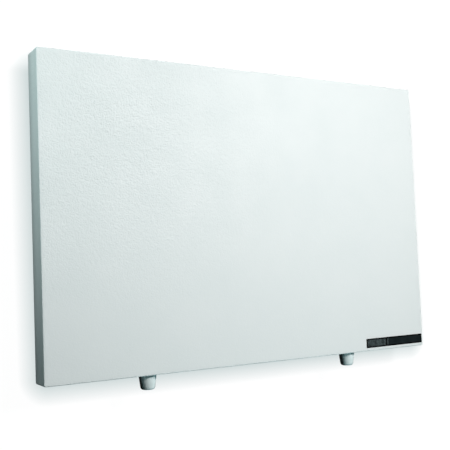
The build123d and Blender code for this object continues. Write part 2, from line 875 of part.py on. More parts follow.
def cutout_lead():
    """From the cut-out's lower tab to the left end of the conductor, crossing under the cover."""
    crossing = casing_back + lead_crossing_drop
    x, y, root = tab_points[1]
    end_x, end_y, end_root = tab_points[2]
    return lead([
        (x, y, crimp_mouth(root) + lead_entry),
        (x, y, crossing),
        (end_x, end_y, crossing),
        (end_x, end_y, crimp_mouth(end_root) + lead_entry),
    ])


def neutral_lead():
    """From the block's neutral pole, through the opening and under the block, to the right end."""
    crossing = casing_back + lead_crossing_drop
    x, y, root = tab_points[3]
    return lead([
        (block_mouth(), neutral_row, tunnel_z),
        (lead_opening_x + 12.5, neutral_row, tunnel_z),
        (lead_opening_x + 15.0, neutral_row - 5.0, crossing + 7.0),
        (x - 20.0, y + 3.5, crossing + 3.0),
        (x, y, crossing),
        (x, y, crimp_mouth(root) + lead_entry),
    ])


def earth_lead():
    """From the block's earth pole to the lug on the earth stud."""
    barrel_end = earth_x + lug_barrel_start + lug_barrel_length
    level = box_seat - lug_barrel_radius
    return lead([
        (block_mouth(), earth_row, tunnel_z),
        (block_mouth() - 17.0, earth_row, tunnel_z),
        (barrel_end + 19.0, box_y + 2.0, tunnel_z - 1.0),
        (barrel_end + 9.0, box_y, level),
        (barrel_end - lead_entry, box_y, level),
    ])


# ---------------------------------------------------------------- hanging studs


def hanging_studs():
    """Shouldered studs: the collar sets the gap, the head hooks behind the rail."""
    collar_top = cover_out - stud_collar_length
    tip = casing_back + stud_nut_height
    stud = turned([
        (0, head_end), (stud_head_radius, head_end), (stud_head_radius, head_top),
        (stud_neck_radius, head_top), (stud_neck_radius, collar_top), (stud_collar_radius, collar_top),
        (stud_collar_radius, cover_out), (stud_thread_radius, cover_out), (stud_thread_radius, tip), (0, tip),
    ])
    stud -= extrude(Pos(0, 0, head_end) * RegularPolygon(stud_socket_radius, 6), stud_socket_depth)
    return group([Pos(x, y, 0) * stud for x, y in stud_points])


def stud_nuts():
    """Clinch nuts pressed on the inside of the rear cover."""
    top = casing_back + stud_nut_height
    nut = peg(stud_nut_radius, casing_back, top) - peg(stud_thread_radius + thread_gap, casing_back, top)
    return group([Pos(x, y, 0) * nut for x, y in stud_points])


# ---------------------------------------------------------------- wall frame


def rail_inner_x():
    """Wall side of the right rail's web, so that the keyholes stand in the middle of its front."""
    return stud_spacing_x / 2 - rail_front_width / 2


def keyhole(y):
    """Keyhole for a stud that rests at y: narrow slot below, round entry above."""
    neck = stud_neck_radius + face_gap
    entry = stud_head_radius + keyhole_entry_gap
    x = stud_spacing_x / 2
    low, high = rail_out - rail_sheet, rail_out
    slot = peg(neck, low, high, x, y) + slab(2 * neck, lift_travel, low, high, 0, x, y + lift_travel / 2)
    return slot + peg(entry, low, high, x, y + lift_travel)


def wall_rail():
    """Right rail: folded Z section with two keyholes in front and two screw holes on the wall."""
    inner = rail_inner_x()
    outer_front = inner + rail_front_width
    outer_wall = inner + rail_sheet - rail_wall_width
    outline = Polyline(
        (outer_wall, 0, 0), (inner + rail_sheet, 0, 0), (inner + rail_sheet, 0, rail_out - rail_sheet),
        (outer_front, 0, rail_out - rail_sheet), (outer_front, 0, rail_out), (inner, 0, rail_out),
        (inner, 0, rail_sheet), (outer_wall, 0, rail_sheet), close=True,
    )
    rail = extrude(make_face(outline), rail_length / 2, dir=(0, 1, 0), both=True)
    folds = [(inner, rail_sheet, 0), (inner + rail_sheet, rail_out - rail_sheet, 0),
             (inner + rail_sheet, 0, rail_sheet), (inner, rail_out, rail_sheet)]
    for x, z, extra in folds:
        edge = rail.edges().filter_by(Axis.Y).sort_by_distance((x, 0, z))[0]
        rail = fillet(edge, rail_bend + extra)
    corners = [e for e in rail.edges().filter_by(Axis.Z) if abs(e.center().X - outer_front) < rail_bend]
    rail = fillet(corners, 3 * rail_bend)
    rail -= [keyhole(s * stud_spacing_y / 2) for s in (-1, 1)]
    rail -= [peg(wall_hole_radius, 0, rail_sheet, x, y) for x, y in wall_hole_points if x > 0]
    rivet_hole = rivet_radius + thread_gap
    return rail - [peg(rivet_hole, 0, rail_sheet, x, y) for x, y in tie_rivet_points() if x > 0]


def tie_rivet_points():
    """Two rivets at each end of each tie bar, where it lies on a rail's wall flange."""
    flange_middle = rail_inner_x() + (rail_sheet - rail_wall_width) / 2
    return [
        (sx * flange_middle, sy * tie_offset_y + step * rivet_pitch / 2)
        for sx in (-1, 1)
        for sy in (-1, 1)
        for step in (-1, 1)
    ]


def tie_bar(side):
    """Flat bar across the two rails."""
    length = 2 * (rail_inner_x() - rail_bend - tie_end_gap)
    bar = slab(length, tie_width, rail_sheet, 2 * rail_sheet, 1.5, 0, side * tie_offset_y)
    holes = [peg(rivet_radius + thread_gap, rail_sheet, 2 * rail_sheet, x, y) for x, y in tie_rivet_points()]
    return bar - holes


def tie_rivets():
    """Rivets that join the tie bars to the rails, flush on the wall side."""
    top = 2 * rail_sheet
    head_top = top + rivet_head_height
    rivet = turned([(0, rivet_recess), (rivet_radius, rivet_recess), (rivet_radius, top),
                    (rivet_head_radius, top), (rivet_head_radius * 0.6, head_top), (0, head_top)])
    return group([Pos(x, y, 0) * rivet for x, y in tie_rivet_points()])


# ---------------------------------------------------------------- feet


def foot_place(side):
    """A foot's own frame: on the casing's underside, with Z pointing down."""
    return downwards(side * foot_offset_x, -panel_height / 2, casing_middle)


def foot(side):
    """Tapered rubber foot with a rounded rim, bored for its screw."""
    cone = turned([(0, 0), (foot_top_radius, 0), (foot_bottom_radius, foot_height), (0, foot_height)])
    rim = cone.edges().filter_by(GeomType.CIRCLE).sort_by(Axis.Z)[-1]
    cone = fillet(rim, foot_rim_radius)
    cone -= peg(foot_bore_radius, foot_height - foot_seat_depth, foot_height)
    cone -= peg(foot_screw_radius + hole_gap, 0, foot_height)
    return foot_place(side) * (
        cone - peg(foot_nut_flange_radius + hole_gap, 0, foot_nut_flange_height + thread_gap)
    )


def on_both_feet(piece):
    """The same small piece at each foot."""
    return group([foot_place(side) * piece for side in (-1, 1)])


def foot_washers():
    """Steel washers on the ledge inside each foot."""
    ledge = foot_height - foot_seat_depth
    washer = peg(foot_washer_radius, ledge, ledge + foot_washer_height)
    return on_both_feet(washer - peg(foot_screw_radius + hole_gap, ledge, ledge + foot_washer_height))


def foot_screws():
    """Screws up through the feet into the casing's rivet nuts."""
    seat = foot_height - foot_seat_depth + foot_washer_height
    length = seat + foot_nut_length - casing_sheet
    screw = pan_screw(foot_screw_radius, foot_screw_head_radius, foot_screw_head_height, length)
    return on_both_feet(Pos(0, 0, seat) * Rot(180, 0, 0) * screw)


def foot_rivet_nuts():
    """Rivet nuts set in the casing's underside."""
    bulge_low = -casing_sheet - foot_nut_bulge_height
    bore = foot_screw_radius + thread_gap
    nut = turned([
        (bore, foot_nut_flange_height), (foot_nut_flange_radius, foot_nut_flange_height),
        (foot_nut_flange_radius, 0), (foot_nut_radius, 0), (foot_nut_radius, -casing_sheet),
        (foot_nut_bulge_radius, -casing_sheet), (foot_nut_radius, bulge_low),
        (foot_nut_radius, -foot_nut_length), (bore, -foot_nut_length),
    ])
    return on_both_feet(nut)


# ---------------------------------------------------------------- the whole heater

os.makedirs("parts", exist_ok=True)

rail_left, rail_right = left_and_right(wall_rail())
write_node("wall_rail_left", rail_left)
write_node("wall_rail_right", rail_right)
write_node("tie_bar_top", tie_bar(1))
write_node("tie_bar_bottom", tie_bar(-1))
write_node("tie_rivets", tie_rivets())

write_node("front_casing", front_casing())
write_node("name_strip", name_strip())
write_node("element_front_film", film(track_front, film_front))
write_node("heating_track", heating_track())
write_node("element_rear_film", element_rear_film())
write_node("element_tabs", group([element_tab(s * element_end_x) for s in (-1, 1)]))
write_node("reflector_foil", reflector())
write_node("insulation_board", insulation_board())
write_node("thermal_cutout", thermal_cutout())
write_node("cutout_strap", cutout_strap())
write_node("push_on_sleeves", group([push_on_sleeve(x, y, root) for x, y, root in tab_points]))

write_node("rear_cover", rear_cover())
write_node("rear_cover_screws", rear_cover_screws())
write_node("hanging_studs", hanging_studs())
write_node("stud_nuts", stud_nuts())

write_node("terminal_box", terminal_box())
write_node("terminal_box_lid", terminal_box_lid())
write_node("lid_screws", lid_screws())
write_node("box_rivets", box_rivets())
write_node("gland_body", gland_body())
write_node("gland_locknut", gland_locknut())
write_node("gland_seal", gland_seal())
write_node("gland_dome_nut", gland_dome_nut())

write_node("terminal_block", terminal_block())
write_node("terminal_inserts", terminal_inserts())
write_node("terminal_screws", terminal_screws())
write_node("block_screws", block_screws())
write_node("earth_stud", earth_stud())
write_node("earth_lug", earth_lug())
write_node("earth_nut", earth_nut())
write_node("live_lead", live_lead())
write_node("cutout_lead", cutout_lead())
write_node("neutral_lead", neutral_lead())
write_node("earth_lead", earth_lead())

write_node("foot_left", foot(-1))
write_node("foot_right", foot(1))
write_node("foot_washers", foot_washers())
write_node("foot_screws", foot_screws())
write_node("foot_rivet_nuts", foot_rivet_nuts())
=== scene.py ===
"""Looks of an infrared panel heater that hangs on a wall frame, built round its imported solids.

Pieces are modelled as if the wall lay flat, as the solids' own source does: X runs to the
right along the panel, Y up the wall and Z out of the wall. STAND then stands each piece up.
All lengths are in metres.
"""

import json
import logging
import math
from abc import ABC, abstractmethod
from dataclasses import dataclass, field
from enum import Enum, IntEnum
from functools import cache
from typing import Iterable, Sequence

import bmesh
import bpy
from mathutils import Matrix, Vector, noise


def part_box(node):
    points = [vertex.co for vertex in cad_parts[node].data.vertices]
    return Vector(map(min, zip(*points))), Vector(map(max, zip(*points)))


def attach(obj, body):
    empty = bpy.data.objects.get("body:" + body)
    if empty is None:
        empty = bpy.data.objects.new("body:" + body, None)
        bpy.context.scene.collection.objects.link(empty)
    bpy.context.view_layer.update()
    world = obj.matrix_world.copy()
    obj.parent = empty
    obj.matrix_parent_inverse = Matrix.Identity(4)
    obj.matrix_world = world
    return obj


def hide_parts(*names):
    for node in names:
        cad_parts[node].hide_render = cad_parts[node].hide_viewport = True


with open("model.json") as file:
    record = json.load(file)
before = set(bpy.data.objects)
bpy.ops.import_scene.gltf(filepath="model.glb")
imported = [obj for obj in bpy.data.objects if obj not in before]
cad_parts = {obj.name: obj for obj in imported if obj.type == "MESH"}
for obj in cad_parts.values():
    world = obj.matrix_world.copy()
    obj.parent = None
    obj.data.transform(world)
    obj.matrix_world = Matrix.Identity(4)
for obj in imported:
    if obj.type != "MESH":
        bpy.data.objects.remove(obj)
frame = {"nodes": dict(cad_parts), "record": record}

LOG = logging.getLogger("panel_heater")
HEATER = "heater"
WALL_FRAME = "wall_frame"

MM = 0.001
COVER_SHEET = 0.8 * MM

# How near counts as level, how near two points count as one, and from what share of its length along
# Z an edge counts as upright.
LEVEL_WITHIN = MM / 100
WELD_WITHIN = MM / 1000
UPRIGHT_FROM = 0.999

# Turns Z so that it runs down the flat wall, and the flat wall so that it stands.
QUARTER_TURN = Matrix.Rotation(math.pi / 2, 4, "X")
STAND = QUARTER_TURN

Colour = tuple[float, float, float]
Place = tuple[float, float, float]
Profile = Sequence[tuple[float, float]]


# ---------------------------------------------------------------- shader trees


class Tree:
    """A node tree with short ways to add nodes, join them and set their values."""

    def __init__(self, graph: bpy.types.NodeTree) -> None:
        """Wraps an existing tree.

        Args:
            graph: The node tree of a material, a world or a node group.
        """
        self.graph = graph

    def add(self, kind: str, **settings: object) -> bpy.types.Node:
        """Adds one node.

        Args:
            kind: The node's type name, such as ShaderNodeTexNoise.
            settings: Properties of the node to set, by name.

        Returns:
            The new node.
        """
        node = self.graph.nodes.new(kind)
        for name, value in settings.items():
            setattr(node, name, value)
        return node

    def put(self, socket: bpy.types.NodeSocket, value: object) -> None:
        """Feeds one input.

        Args:
            socket: The input.
            value: A socket joins the input, and anything else becomes its constant.
        """
        if isinstance(value, bpy.types.NodeSocket):
            self.graph.links.new(value, socket)
        elif socket.type == "RGBA" and len(value) == 3:
            socket.default_value = (*value, 1.0)
        else:
            socket.default_value = value

    def feed(self, node: bpy.types.Node, **values: object) -> bpy.types.Node:
        """Feeds a node's inputs by name.

        Args:
            node: The node to feed.
            values: What each input gets, by its name with underscores for spaces.

        Returns:
            The same node.
        """
        for name, value in values.items():
            self.put(node.inputs[name.replace("_", " ")], value)
        return node

    def fill(self, node: bpy.types.Node, *values: object) -> bpy.types.Node:
        """Feeds a node's inputs in their own order.

        Args:
            node: The node to feed.
            values: What each input gets, from the first on.

        Returns:
            The same node.
        """
        for socket, value in zip(node.inputs, values):
            self.put(socket, value)
        return node

    def node(self, kind: str, **values: object) -> bpy.types.Node:
        """Adds one node and feeds its inputs by name.

        Args:
            kind: The node's type name.
            values: What each input gets.

        Returns:
            The new node.
        """
        return self.feed(self.add(kind), **values)

    def math(self, operation: str, first: object, *others: object) -> bpy.types.NodeSocket:
        """Joins numbers by one operation, from left to right.

        Args:
            operation: The operation's name, such as MULTIPLY.
            first: A socket or a number.
            others: More of them, each with a Math node of its own.

        Returns:
            The result.
        """
        for other in others:
            first = self.fill(self.add("ShaderNodeMath", operation=operation), first, other).outputs[0]
        return first

    def spread(self, value: bpy.types.NodeSocket, low: float, high: float,
               to_low: float = 0.0, to_high: float = 1.0) -> bpy.types.NodeSocket:
        """Maps one range of values to another and clamps the result.

        Args:
            value: The value to map.
            low: The value that becomes to_low.
            high: The value that becomes to_high.
            to_low: Result at low.
            to_high: Result at high.

        Returns:
            The mapped value.
        """
        return self.node("ShaderNodeMapRange", Value=value, From_Min=low, From_Max=high, To_Min=to_low,
                         To_Max=to_high).outputs["Result"]

    def mix(self, share: object, first: object, second: object) -> bpy.types.NodeSocket:
        """Mixes two colours.

        Args:
            share: Share of the second colour, a socket or a number.
            first: A socket or a colour.
            second: A socket or a colour.

        Returns:
            The mixed colour.
        """
        node = self.add("ShaderNodeMix", data_type="RGBA")
        values = {"Factor_Float": share, "A_Color": first, "B_Color": second}
        for socket in node.inputs:
            if socket.identifier in values:
                self.put(socket, values[socket.identifier])
        return next(socket for socket in node.outputs if socket.identifier == "Result_Color")

    def mix_shaders(self, share: object, first: bpy.types.NodeSocket,
                    second: bpy.types.NodeSocket) -> bpy.types.NodeSocket:
        """Mixes two shaders.

        Args:
            share: Share of the second shader, a socket or a number.
            first: A shader.
            second: A shader.

        Returns:
            The mixed shader.
        """
        return self.fill(self.add("ShaderNodeMixShader"), share, first, second).outputs[0]

    def place(self, scale: Sequence[float] = (1, 1, 1),
              turn: Sequence[float] = (0, 0, 0)) -> bpy.types.NodeSocket:
        """Object coordinates, stretched and turned for a pattern.

        Args:
            scale: Stretch along each axis.
            turn: Rotation in radians.

        Returns:
            The coordinates.
        """
        coordinates = self.add("ShaderNodeTexCoord").outputs["Object"]
        return self.node("ShaderNodeMapping", Vector=coordinates, Scale=scale, Rotation=turn).outputs[0]


class EffectTree(Tree):
    """The tree of a shader node group that takes a vector and numbers, and gives one value."""

    def __init__(self, name: str, output: str, **inputs: float) -> None:
        """Starts the group, with its input and output nodes in place.

        Args:
            name: The group's name.
            output: Name of the value that it gives.
            inputs: Each number that it takes, with its usual value.
        """
        super().__init__(bpy.data.node_groups.new(name, "ShaderNodeTree"))
        sockets = self.graph.interface
        sockets.new_socket("Vector", in_out="INPUT", socket_type="NodeSocketVector")
        for label, value in inputs.items():
            sockets.new_socket(label, in_out="INPUT", socket_type="NodeSocketFloat").default_value = value
        sockets.new_socket(output, in_out="OUTPUT", socket_type="NodeSocketFloat")
        self.take = self.add("NodeGroupInput").outputs
        self.give = self.add("NodeGroupOutput").inputs[0]

    def noise(self, detail: float, roughness: float = 0.5, pitch: float = 1.0,
              vector: bpy.types.NodeSocket | None = None) -> bpy.types.NodeSocket:
        """Adds a noise as fine as the group's Scale input says.

        Args:
            detail: Octaves of the noise.
            roughness: How strong the finer octaves are.
            pitch: How many times finer it is than Scale says.
            vector: Where it is read, when that isn't at the group's own vector.

        Returns:
            The noise's value.
        """
        scale = self.take["Scale"] if pitch == 1.0 else self.math("MULTIPLY", self.take["Scale"], pitch)
        where = self.take["Vector"] if vector is None else vector
        return self.node("ShaderNodeTexNoise", Vector=where, Scale=scale, Detail=detail,
                         Roughness=roughness).outputs["Fac"]


class Effect(Enum):
    """An effect that several finishes share, by the name of the method that builds its group."""

    MOTTLE = "mottle"
    GRANULES = "granules"
    ROLLING_LINES = "rolling_lines"
    SPANGLE = "spangle"
    SCUFFS = "scuffs"
    DUST = "dust"


class Effects:
    """Node groups that several finishes share. Each is built once, when it is first asked for."""

    def __init__(self) -> None:
        """Starts with no group built."""
        self.built: dict[Effect, bpy.types.NodeTree] = {}

    def use(self, tree: Tree, effect: Effect, **values: object) -> bpy.types.NodeSocket:
        """Places an effect's group in a material's tree.

        Args:
            tree: The material's tree.
            effect: The effect.
            values: What its inputs are fed.

        Returns:
            What the group gives.
        """
        if effect not in self.built:
            self.built[effect] = getattr(self, effect.value)().graph
        node = tree.add("ShaderNodeGroup", node_tree=self.built[effect], label=effect.value)
        return tree.feed(node, **values).outputs[0]

    def mottle(self) -> Tree:
        """Slow uneven patches, for colour and roughness.

        Returns:
            The group's tree, with a Patch output from 0 to 1.
        """
        tree = EffectTree("mottle", "Patch", Scale=30.0)
        tree.put(tree.give, tree.spread(tree.noise(detail=4.0, roughness=0.6), low=0.3, high=0.7))
        return tree

    def granules(self) -> Tree:
        """Fine granular coat: soft round grains with a low swell under them.

        Both are read at an oblique angle, or a flat front would show the noise's square lattice.

        Returns:
            The group's tree, with a Height output from 0 to 1.
        """
        tree = EffectTree("granules", "Height", Scale=400.0)
        swell_pitch, swell_share, grain_pitch, grain_share = 0.5, 0.72, 1.6, 0.28
        oblique = tree.node("ShaderNodeMapping", Vector=tree.take["Vector"],
                            Rotation=(0.6, 0.9, 0.4)).outputs[0]
        swell = tree.noise(detail=3.0, roughness=0.62, pitch=swell_pitch, vector=oblique)
        grains = tree.feed(tree.add("ShaderNodeTexVoronoi", feature="SMOOTH_F1"), Vector=oblique,
                           Scale=tree.math("MULTIPLY", tree.take["Scale"], grain_pitch), Smoothness=0.9)
        grain = tree.spread(grains.outputs["Distance"], low=0.1, high=0.75, to_low=1.0, to_high=0.0)
        tree.put(tree.give, tree.math("ADD", tree.math("MULTIPLY", swell, swell_share),
                                      tree.math("MULTIPLY", grain, grain_share)))
        return tree

    def rolling_lines(self) -> Tree:
        """Long fine lines of rolled or drawn metal, along X.

        Returns:
            The group's tree, with a Line output from 0 to 1.
        """
        tree = EffectTree("rolling_lines", "Line", Scale=600.0)
        long = tree.node("ShaderNodeMapping", Vector=tree.take["Vector"], Scale=(0.02, 1.0, 1.0)).outputs[0]
        lines = tree.noise(detail=3.0, roughness=0.7, vector=long)
        tree.put(tree.give, tree.spread(lines, low=0.3, high=0.7))
        return tree

    def spangle(self) -> Tree:
        """Crystal flakes of a zinc coat, each with its own tone.

        Returns:
            The group's tree, with a Flake output from 0 to 1.
        """
        tree = EffectTree("spangle", "Flake", Scale=120.0)
        bend = 4.0 * MM
        wobble = tree.node("ShaderNodeTexNoise", Vector=tree.take["Vector"], Detail=2.0,
                           Scale=tree.math("MULTIPLY", tree.take["Scale"], 2.0))
        bent = tree.fill(tree.add("ShaderNodeVectorMath", operation="MULTIPLY_ADD"),
                         wobble.outputs["Color"], (bend, bend, bend), tree.take["Vector"])
        flakes = tree.node("ShaderNodeTexVoronoi", Vector=bent.outputs[0], Scale=tree.take["Scale"])
        tone = tree.node("ShaderNodeSeparateColor", Color=flakes.outputs["Color"])
        tree.put(tree.give, tone.outputs["Red"])
        return tree

    def scuffs(self) -> Tree:
        """Few thin handling marks and faint rubbed patches.

        Returns:
            The group's tree, with a Mark output from 0 to 1.
        """
        tree = EffectTree("scuffs", "Mark", Scale=60.0, Amount=0.5)
        marks = []
        for turn in (0.5, 2.1):
            long = tree.node("ShaderNodeMapping", Vector=tree.take["Vector"], Rotation=(turn, turn, turn),
                             Scale=(1.0, 0.06, 1.0)).outputs[0]
            streak = tree.noise(detail=1.0, pitch=8.0, vector=long)
            marks.append(tree.spread(streak, low=0.66, high=0.7))
        patchy = tree.spread(tree.noise(detail=2.0), low=0.5, high=0.7)
        shown = tree.math("MAXIMUM", *marks)
        tree.put(tree.give, tree.math("MULTIPLY", shown, patchy, tree.take["Amount"]))
        return tree

    def dust(self) -> Tree:
        """Thin dust that settles on what faces upwards.

        Returns:
            The group's tree, with a Dust output from 0 to 1.
        """
        tree = EffectTree("dust", "Dust", Scale=90.0, Amount=0.3)
        facing = tree.node("ShaderNodeSeparateXYZ",
                           Vector=tree.add("ShaderNodeNewGeometry").outputs["Normal"])
        up = tree.spread(facing.outputs["Z"], low=0.35, high=0.95)
        tree.put(tree.give, tree.math("MULTIPLY", up, tree.noise(detail=5.0), tree.take["Amount"]))
        return tree


EFFECTS = Effects()


# ---------------------------------------------------------------- finishes


DUST_COLOUR: Colour = (0.55, 0.54, 0.52)
MARK_ROUGHNESS = 0.2


@dataclass(frozen=True)
class Finish:
    """A finish: two close colours in uneven patches, with a fine relief, marks and dust over them.

    Attributes:
        name: The material's name.
        colour: Main colour, linear.
        shade: Colour of the patches that differ.
        roughness: Mean roughness.
        metallic: 1 for bare metal.
        relief: The effect that gives its fine relief.
        relief_scale: How fine the relief is, in features a metre.
        relief_depth: Height of the relief in metres.
        relief_tone: How far the relief also moves the colour towards the shade.
        patch_scale: How small the patches are, in patches a metre.
        roughness_swing: How far roughness varies either way.
        marks: Strength of handling marks.
        mark_colour: Colour that marks show.
        dust: Strength of the dust on upward faces.
        specular: Specular level.
        coat: Weight of a clear coat.
        sheen: Weight of a sheen.
    """

    name: str
    colour: Colour
    shade: Colour
    roughness: float
    metallic: float = 0.0
    relief: Effect = Effect.GRANULES
    relief_scale: float = 900.0
    relief_depth: float = 0.03 * MM
    relief_tone: float = 0.15
    patch_scale: float = 30.0
    roughness_swing: float = 0.06
    marks: float = 0.3
    mark_colour: Colour = (0.5, 0.5, 0.5)
    dust: float = 0.1
    specular: float = 0.5
    coat: float = 0.0
    sheen: float = 0.0

    def base_colour(self, tree: Tree, patch: bpy.types.NodeSocket,
                    relief: bpy.types.NodeSocket) -> bpy.types.NodeSocket:
        """Joins the two colours.

        Args:
            tree: The material's tree.
            patch: Patches from 0 to 1.
            relief: Relief from 0 to 1.

        Returns:
            The colour before marks and dust.
        """
        patched = tree.mix(patch, self.colour, self.shade)
        return tree.mix(tree.math("MULTIPLY", relief, self.relief_tone), patched, self.shade)

    def relief_height(self, tree: Tree, relief: bpy.types.NodeSocket) -> bpy.types.NodeSocket:
        """Height for the bump, here the relief itself.

        Args:
            tree: The material's tree.
            relief: Relief from 0 to 1.

        Returns:
            The height.
        """
        return relief

    @cache
    def material(self) -> bpy.types.Material:
        """The finish's material, built when it is first asked for.

        Returns:
            The material.
        """
        material = bpy.data.materials.new(self.name)
        material.use_nodes = True
        tree = Tree(material.node_tree)
        where = tree.place()
        patch = EFFECTS.use(tree, Effect.MOTTLE, Vector=where, Scale=self.patch_scale)
        relief = EFFECTS.use(tree, self.relief, Vector=where, Scale=self.relief_scale)
        mark = EFFECTS.use(tree, Effect.SCUFFS, Vector=where, Amount=self.marks)
        dust = EFFECTS.use(tree, Effect.DUST, Vector=where, Amount=self.dust)
        marked = tree.mix(mark, self.base_colour(tree, patch, relief), self.mark_colour)
        swing = tree.spread(patch, 0.0, 1.0, self.roughness - self.roughness_swing,
                            self.roughness + self.roughness_swing)
        rough = tree.math("ADD", swing, tree.math("MULTIPLY", mark, MARK_ROUGHNESS), dust)
        bump = tree.node("ShaderNodeBump", Height=self.relief_height(tree, relief),
                         Distance=self.relief_depth, Strength=1.0)
        tree.feed(material.node_tree.nodes["Principled BSDF"], Roughness=rough, Metallic=self.metallic,
                  Base_Color=tree.mix(dust, marked, DUST_COLOUR), Normal=bump.outputs["Normal"],
                  Specular_IOR_Level=self.specular, Coat_Weight=self.coat, Sheen_Weight=self.sheen)
        return material


@dataclass(frozen=True)
class BareMetal(Finish):
    """A rolled, drawn or turned metal without a coat.

    Attributes:
        metallic: 1, for bare metal.
        relief: The fine lines that rolling, drawing or turning leaves.
        relief_depth: Height of those lines in metres.
    """

    metallic: float = 1.0
    relief: Effect = Effect.ROLLING_LINES
    relief_depth: float = 0.008 * MM


@dataclass(frozen=True)
class StripedFinish(Finish):
    """A finish with a second colour in a band that winds round a lead.

    Attributes:
        stripe: Colour of the band.
        stripe_scale: How fine the wave is that makes the bands.
        stripe_edge: Heights of that wave where a band starts and where it is full.
    """

    stripe: Colour = (0.6, 0.45, 0.02)
    stripe_scale: float = 90.0
    stripe_edge: tuple[float, float] = (0.55, 0.6)

    def base_colour(self, tree: Tree, patch: bpy.types.NodeSocket,
                    relief: bpy.types.NodeSocket) -> bpy.types.NodeSocket:
        """Joins the ground colour and the band.

        Args:
            tree: The material's tree.
            patch: Patches from 0 to 1.
            relief: Relief from 0 to 1.

        Returns:
            The colour before marks and dust.
        """
        wave = tree.add("ShaderNodeTexWave", wave_type="BANDS", bands_direction="DIAGONAL")
        tree.feed(wave, Vector=tree.place(), Scale=self.stripe_scale)
        band = tree.spread(wave.outputs["Fac"], *self.stripe_edge)
        return tree.mix(band, super().base_colour(tree, patch, relief), self.stripe)


@dataclass(frozen=True)
class SprayedFinish(Finish):
    """A sprayed coat whose grain is heavier in one part, with painted shade that darkens it towards the
    wall.

    Attributes:
        heavy: Where the grain is heaviest.
        heavy_reach: Distances from there where its full height ends and where its least starts.
        least: The least height as a share of the full one.
        painted_shade: Colour of the painted shade, which darkens the coat towards the wall.
        painted_shade_share: Its strength at the back edge.
        painted_shade_fall: Power that it falls with towards the front.
        painted_shade_depths: Distances from the wall where the painted shade is at its full strength and
            where it ends.
    """

    heavy: Place = (-0.195, -0.06, 0.12)
    heavy_reach: tuple[float, float] = (0.02, 0.25)
    least: float = 0.12
    painted_shade: Colour = (0.22, 0.25, 0.25)
    painted_shade_share: float = 0.56
    painted_shade_fall: float = 3.0
    painted_shade_depths: tuple[float, float] = (0.029, 0.057)

    def base_colour(self, tree: Tree, patch: bpy.types.NodeSocket,
                    relief: bpy.types.NodeSocket) -> bpy.types.NodeSocket:
        """Lays painted shade over the coat, darker towards the wall.

        Args:
            tree: The material's tree.
            patch: Patches from 0 to 1.
            relief: Relief from 0 to 1.

        Returns:
            The colour before marks and dust.
        """
        # Painted shade: the colour darkens towards the wall, as if less light reached there.
        place = tree.node("ShaderNodeSeparateXYZ", Vector=tree.place(scale=(1, -1, 1)))
        near = tree.spread(place.outputs["Y"], *self.painted_shade_depths, 1.0, 0.0)
        painted_shade_mask = tree.math("MULTIPLY", tree.math("POWER", near, self.painted_shade_fall), self.painted_shade_share)
        return tree.mix(painted_shade_mask, super().base_colour(tree, patch, relief), self.painted_shade)

    def relief_height(self, tree: Tree, relief: bpy.types.NodeSocket) -> bpy.types.NodeSocket:
        """Thins the relief out round the place where it is heaviest.

        Args:
            tree: The material's tree.
            relief: Relief from 0 to 1.

        Returns:
            The height for the bump.
        """
        away = tree.fill(tree.add("ShaderNodeVectorMath", operation="DISTANCE"), tree.place(), self.heavy)
        share = tree.spread(away.outputs["Value"], *self.heavy_reach, 1.0, self.least)
        return tree.math("MULTIPLY", relief, share)


@dataclass(frozen=True)
class HatchedFinish(Finish):
    """A dark finish with plain fine cross lines, lighter than the ground, that patches wear away.

    Attributes:
        line: Colour of the lines.
        line_scale: How fine the wave is that makes the lines.
        line_edge: Heights of that wave where a line starts and where it is full.
    """

    line: Colour = (0.120, 0.145, 0.148)
    line_scale: float = 170.0
    line_edge: tuple[float, float] = (0.75, 0.98)

    def base_colour(self, tree: Tree, patch: bpy.types.NodeSocket,
                    relief: bpy.types.NodeSocket) -> bpy.types.NodeSocket:
        """Joins the ground colour and the lines.

        Args:
            tree: The material's tree.
            patch: Patches from 0 to 1.
            relief: Relief from 0 to 1.

        Returns:
            The colour before marks and dust.
        """
        lines = []
        for turn in (math.pi / 4, -math.pi / 4):
            wave = tree.add("ShaderNodeTexWave", wave_type="BANDS", bands_direction="X")
            tree.feed(wave, Vector=tree.place(turn=(0.0, turn, 0.0)), Scale=self.line_scale)
            lines.append(tree.spread(wave.outputs["Fac"], *self.line_edge))
        shown = tree.math("MULTIPLY", tree.math("MAXIMUM", *lines), patch)
        return tree.mix(shown, super().base_colour(tree, patch, relief), self.line)


# The casing's coat: its sides carry painted shade that darkens them towards the wall.
COATING = SprayedFinish("casing_coating", (0.835, 0.887, 0.882), (0.805, 0.865, 0.86), 0.55,
                        relief_scale=370.0, relief_depth=1.1 * MM, relief_tone=0.3, patch_scale=14.0,
                        roughness_swing=0.05, marks=0.06, mark_colour=(0.7, 0.73, 0.73), dust=0.05,
                        specular=0.35)
STRIP_RIM = Finish("strip_rim", (0.001, 0.001, 0.001), (0.002, 0.002, 0.002), 0.5, relief_scale=1500.0,
                   relief_depth=0.01 * MM, marks=0.05, dust=0.01, specular=0.04)
STRIP_FIELD = Finish("strip_field", (0.005, 0.009, 0.010), (0.011, 0.018, 0.020), 0.45,
                     relief_scale=1200.0, relief_depth=0.01 * MM, patch_scale=90.0, marks=0.1,
                     mark_colour=(0.06, 0.08, 0.08), dust=0.01, specular=0.08)
STRIP_HATCH = HatchedFinish("strip_hatch", (0.001, 0.003, 0.003), (0.050, 0.070, 0.072), 0.45,
                            relief_scale=500.0, relief_depth=0.01 * MM, patch_scale=210.0, marks=0.1,
                            dust=0.01, specular=0.08)
FRAME_STEEL = Finish("frame_steel", (0.62, 0.64, 0.65), (0.54, 0.56, 0.57), 0.42, relief_scale=700.0,
                     relief_depth=0.04 * MM, mark_colour=(0.42, 0.43, 0.44), dust=0.3)
FRAME_RIVET = BareMetal("frame_rivet", (0.66, 0.67, 0.68), (0.52, 0.53, 0.54), 0.36,
                        relief_depth=0.01 * MM, dust=0.2)
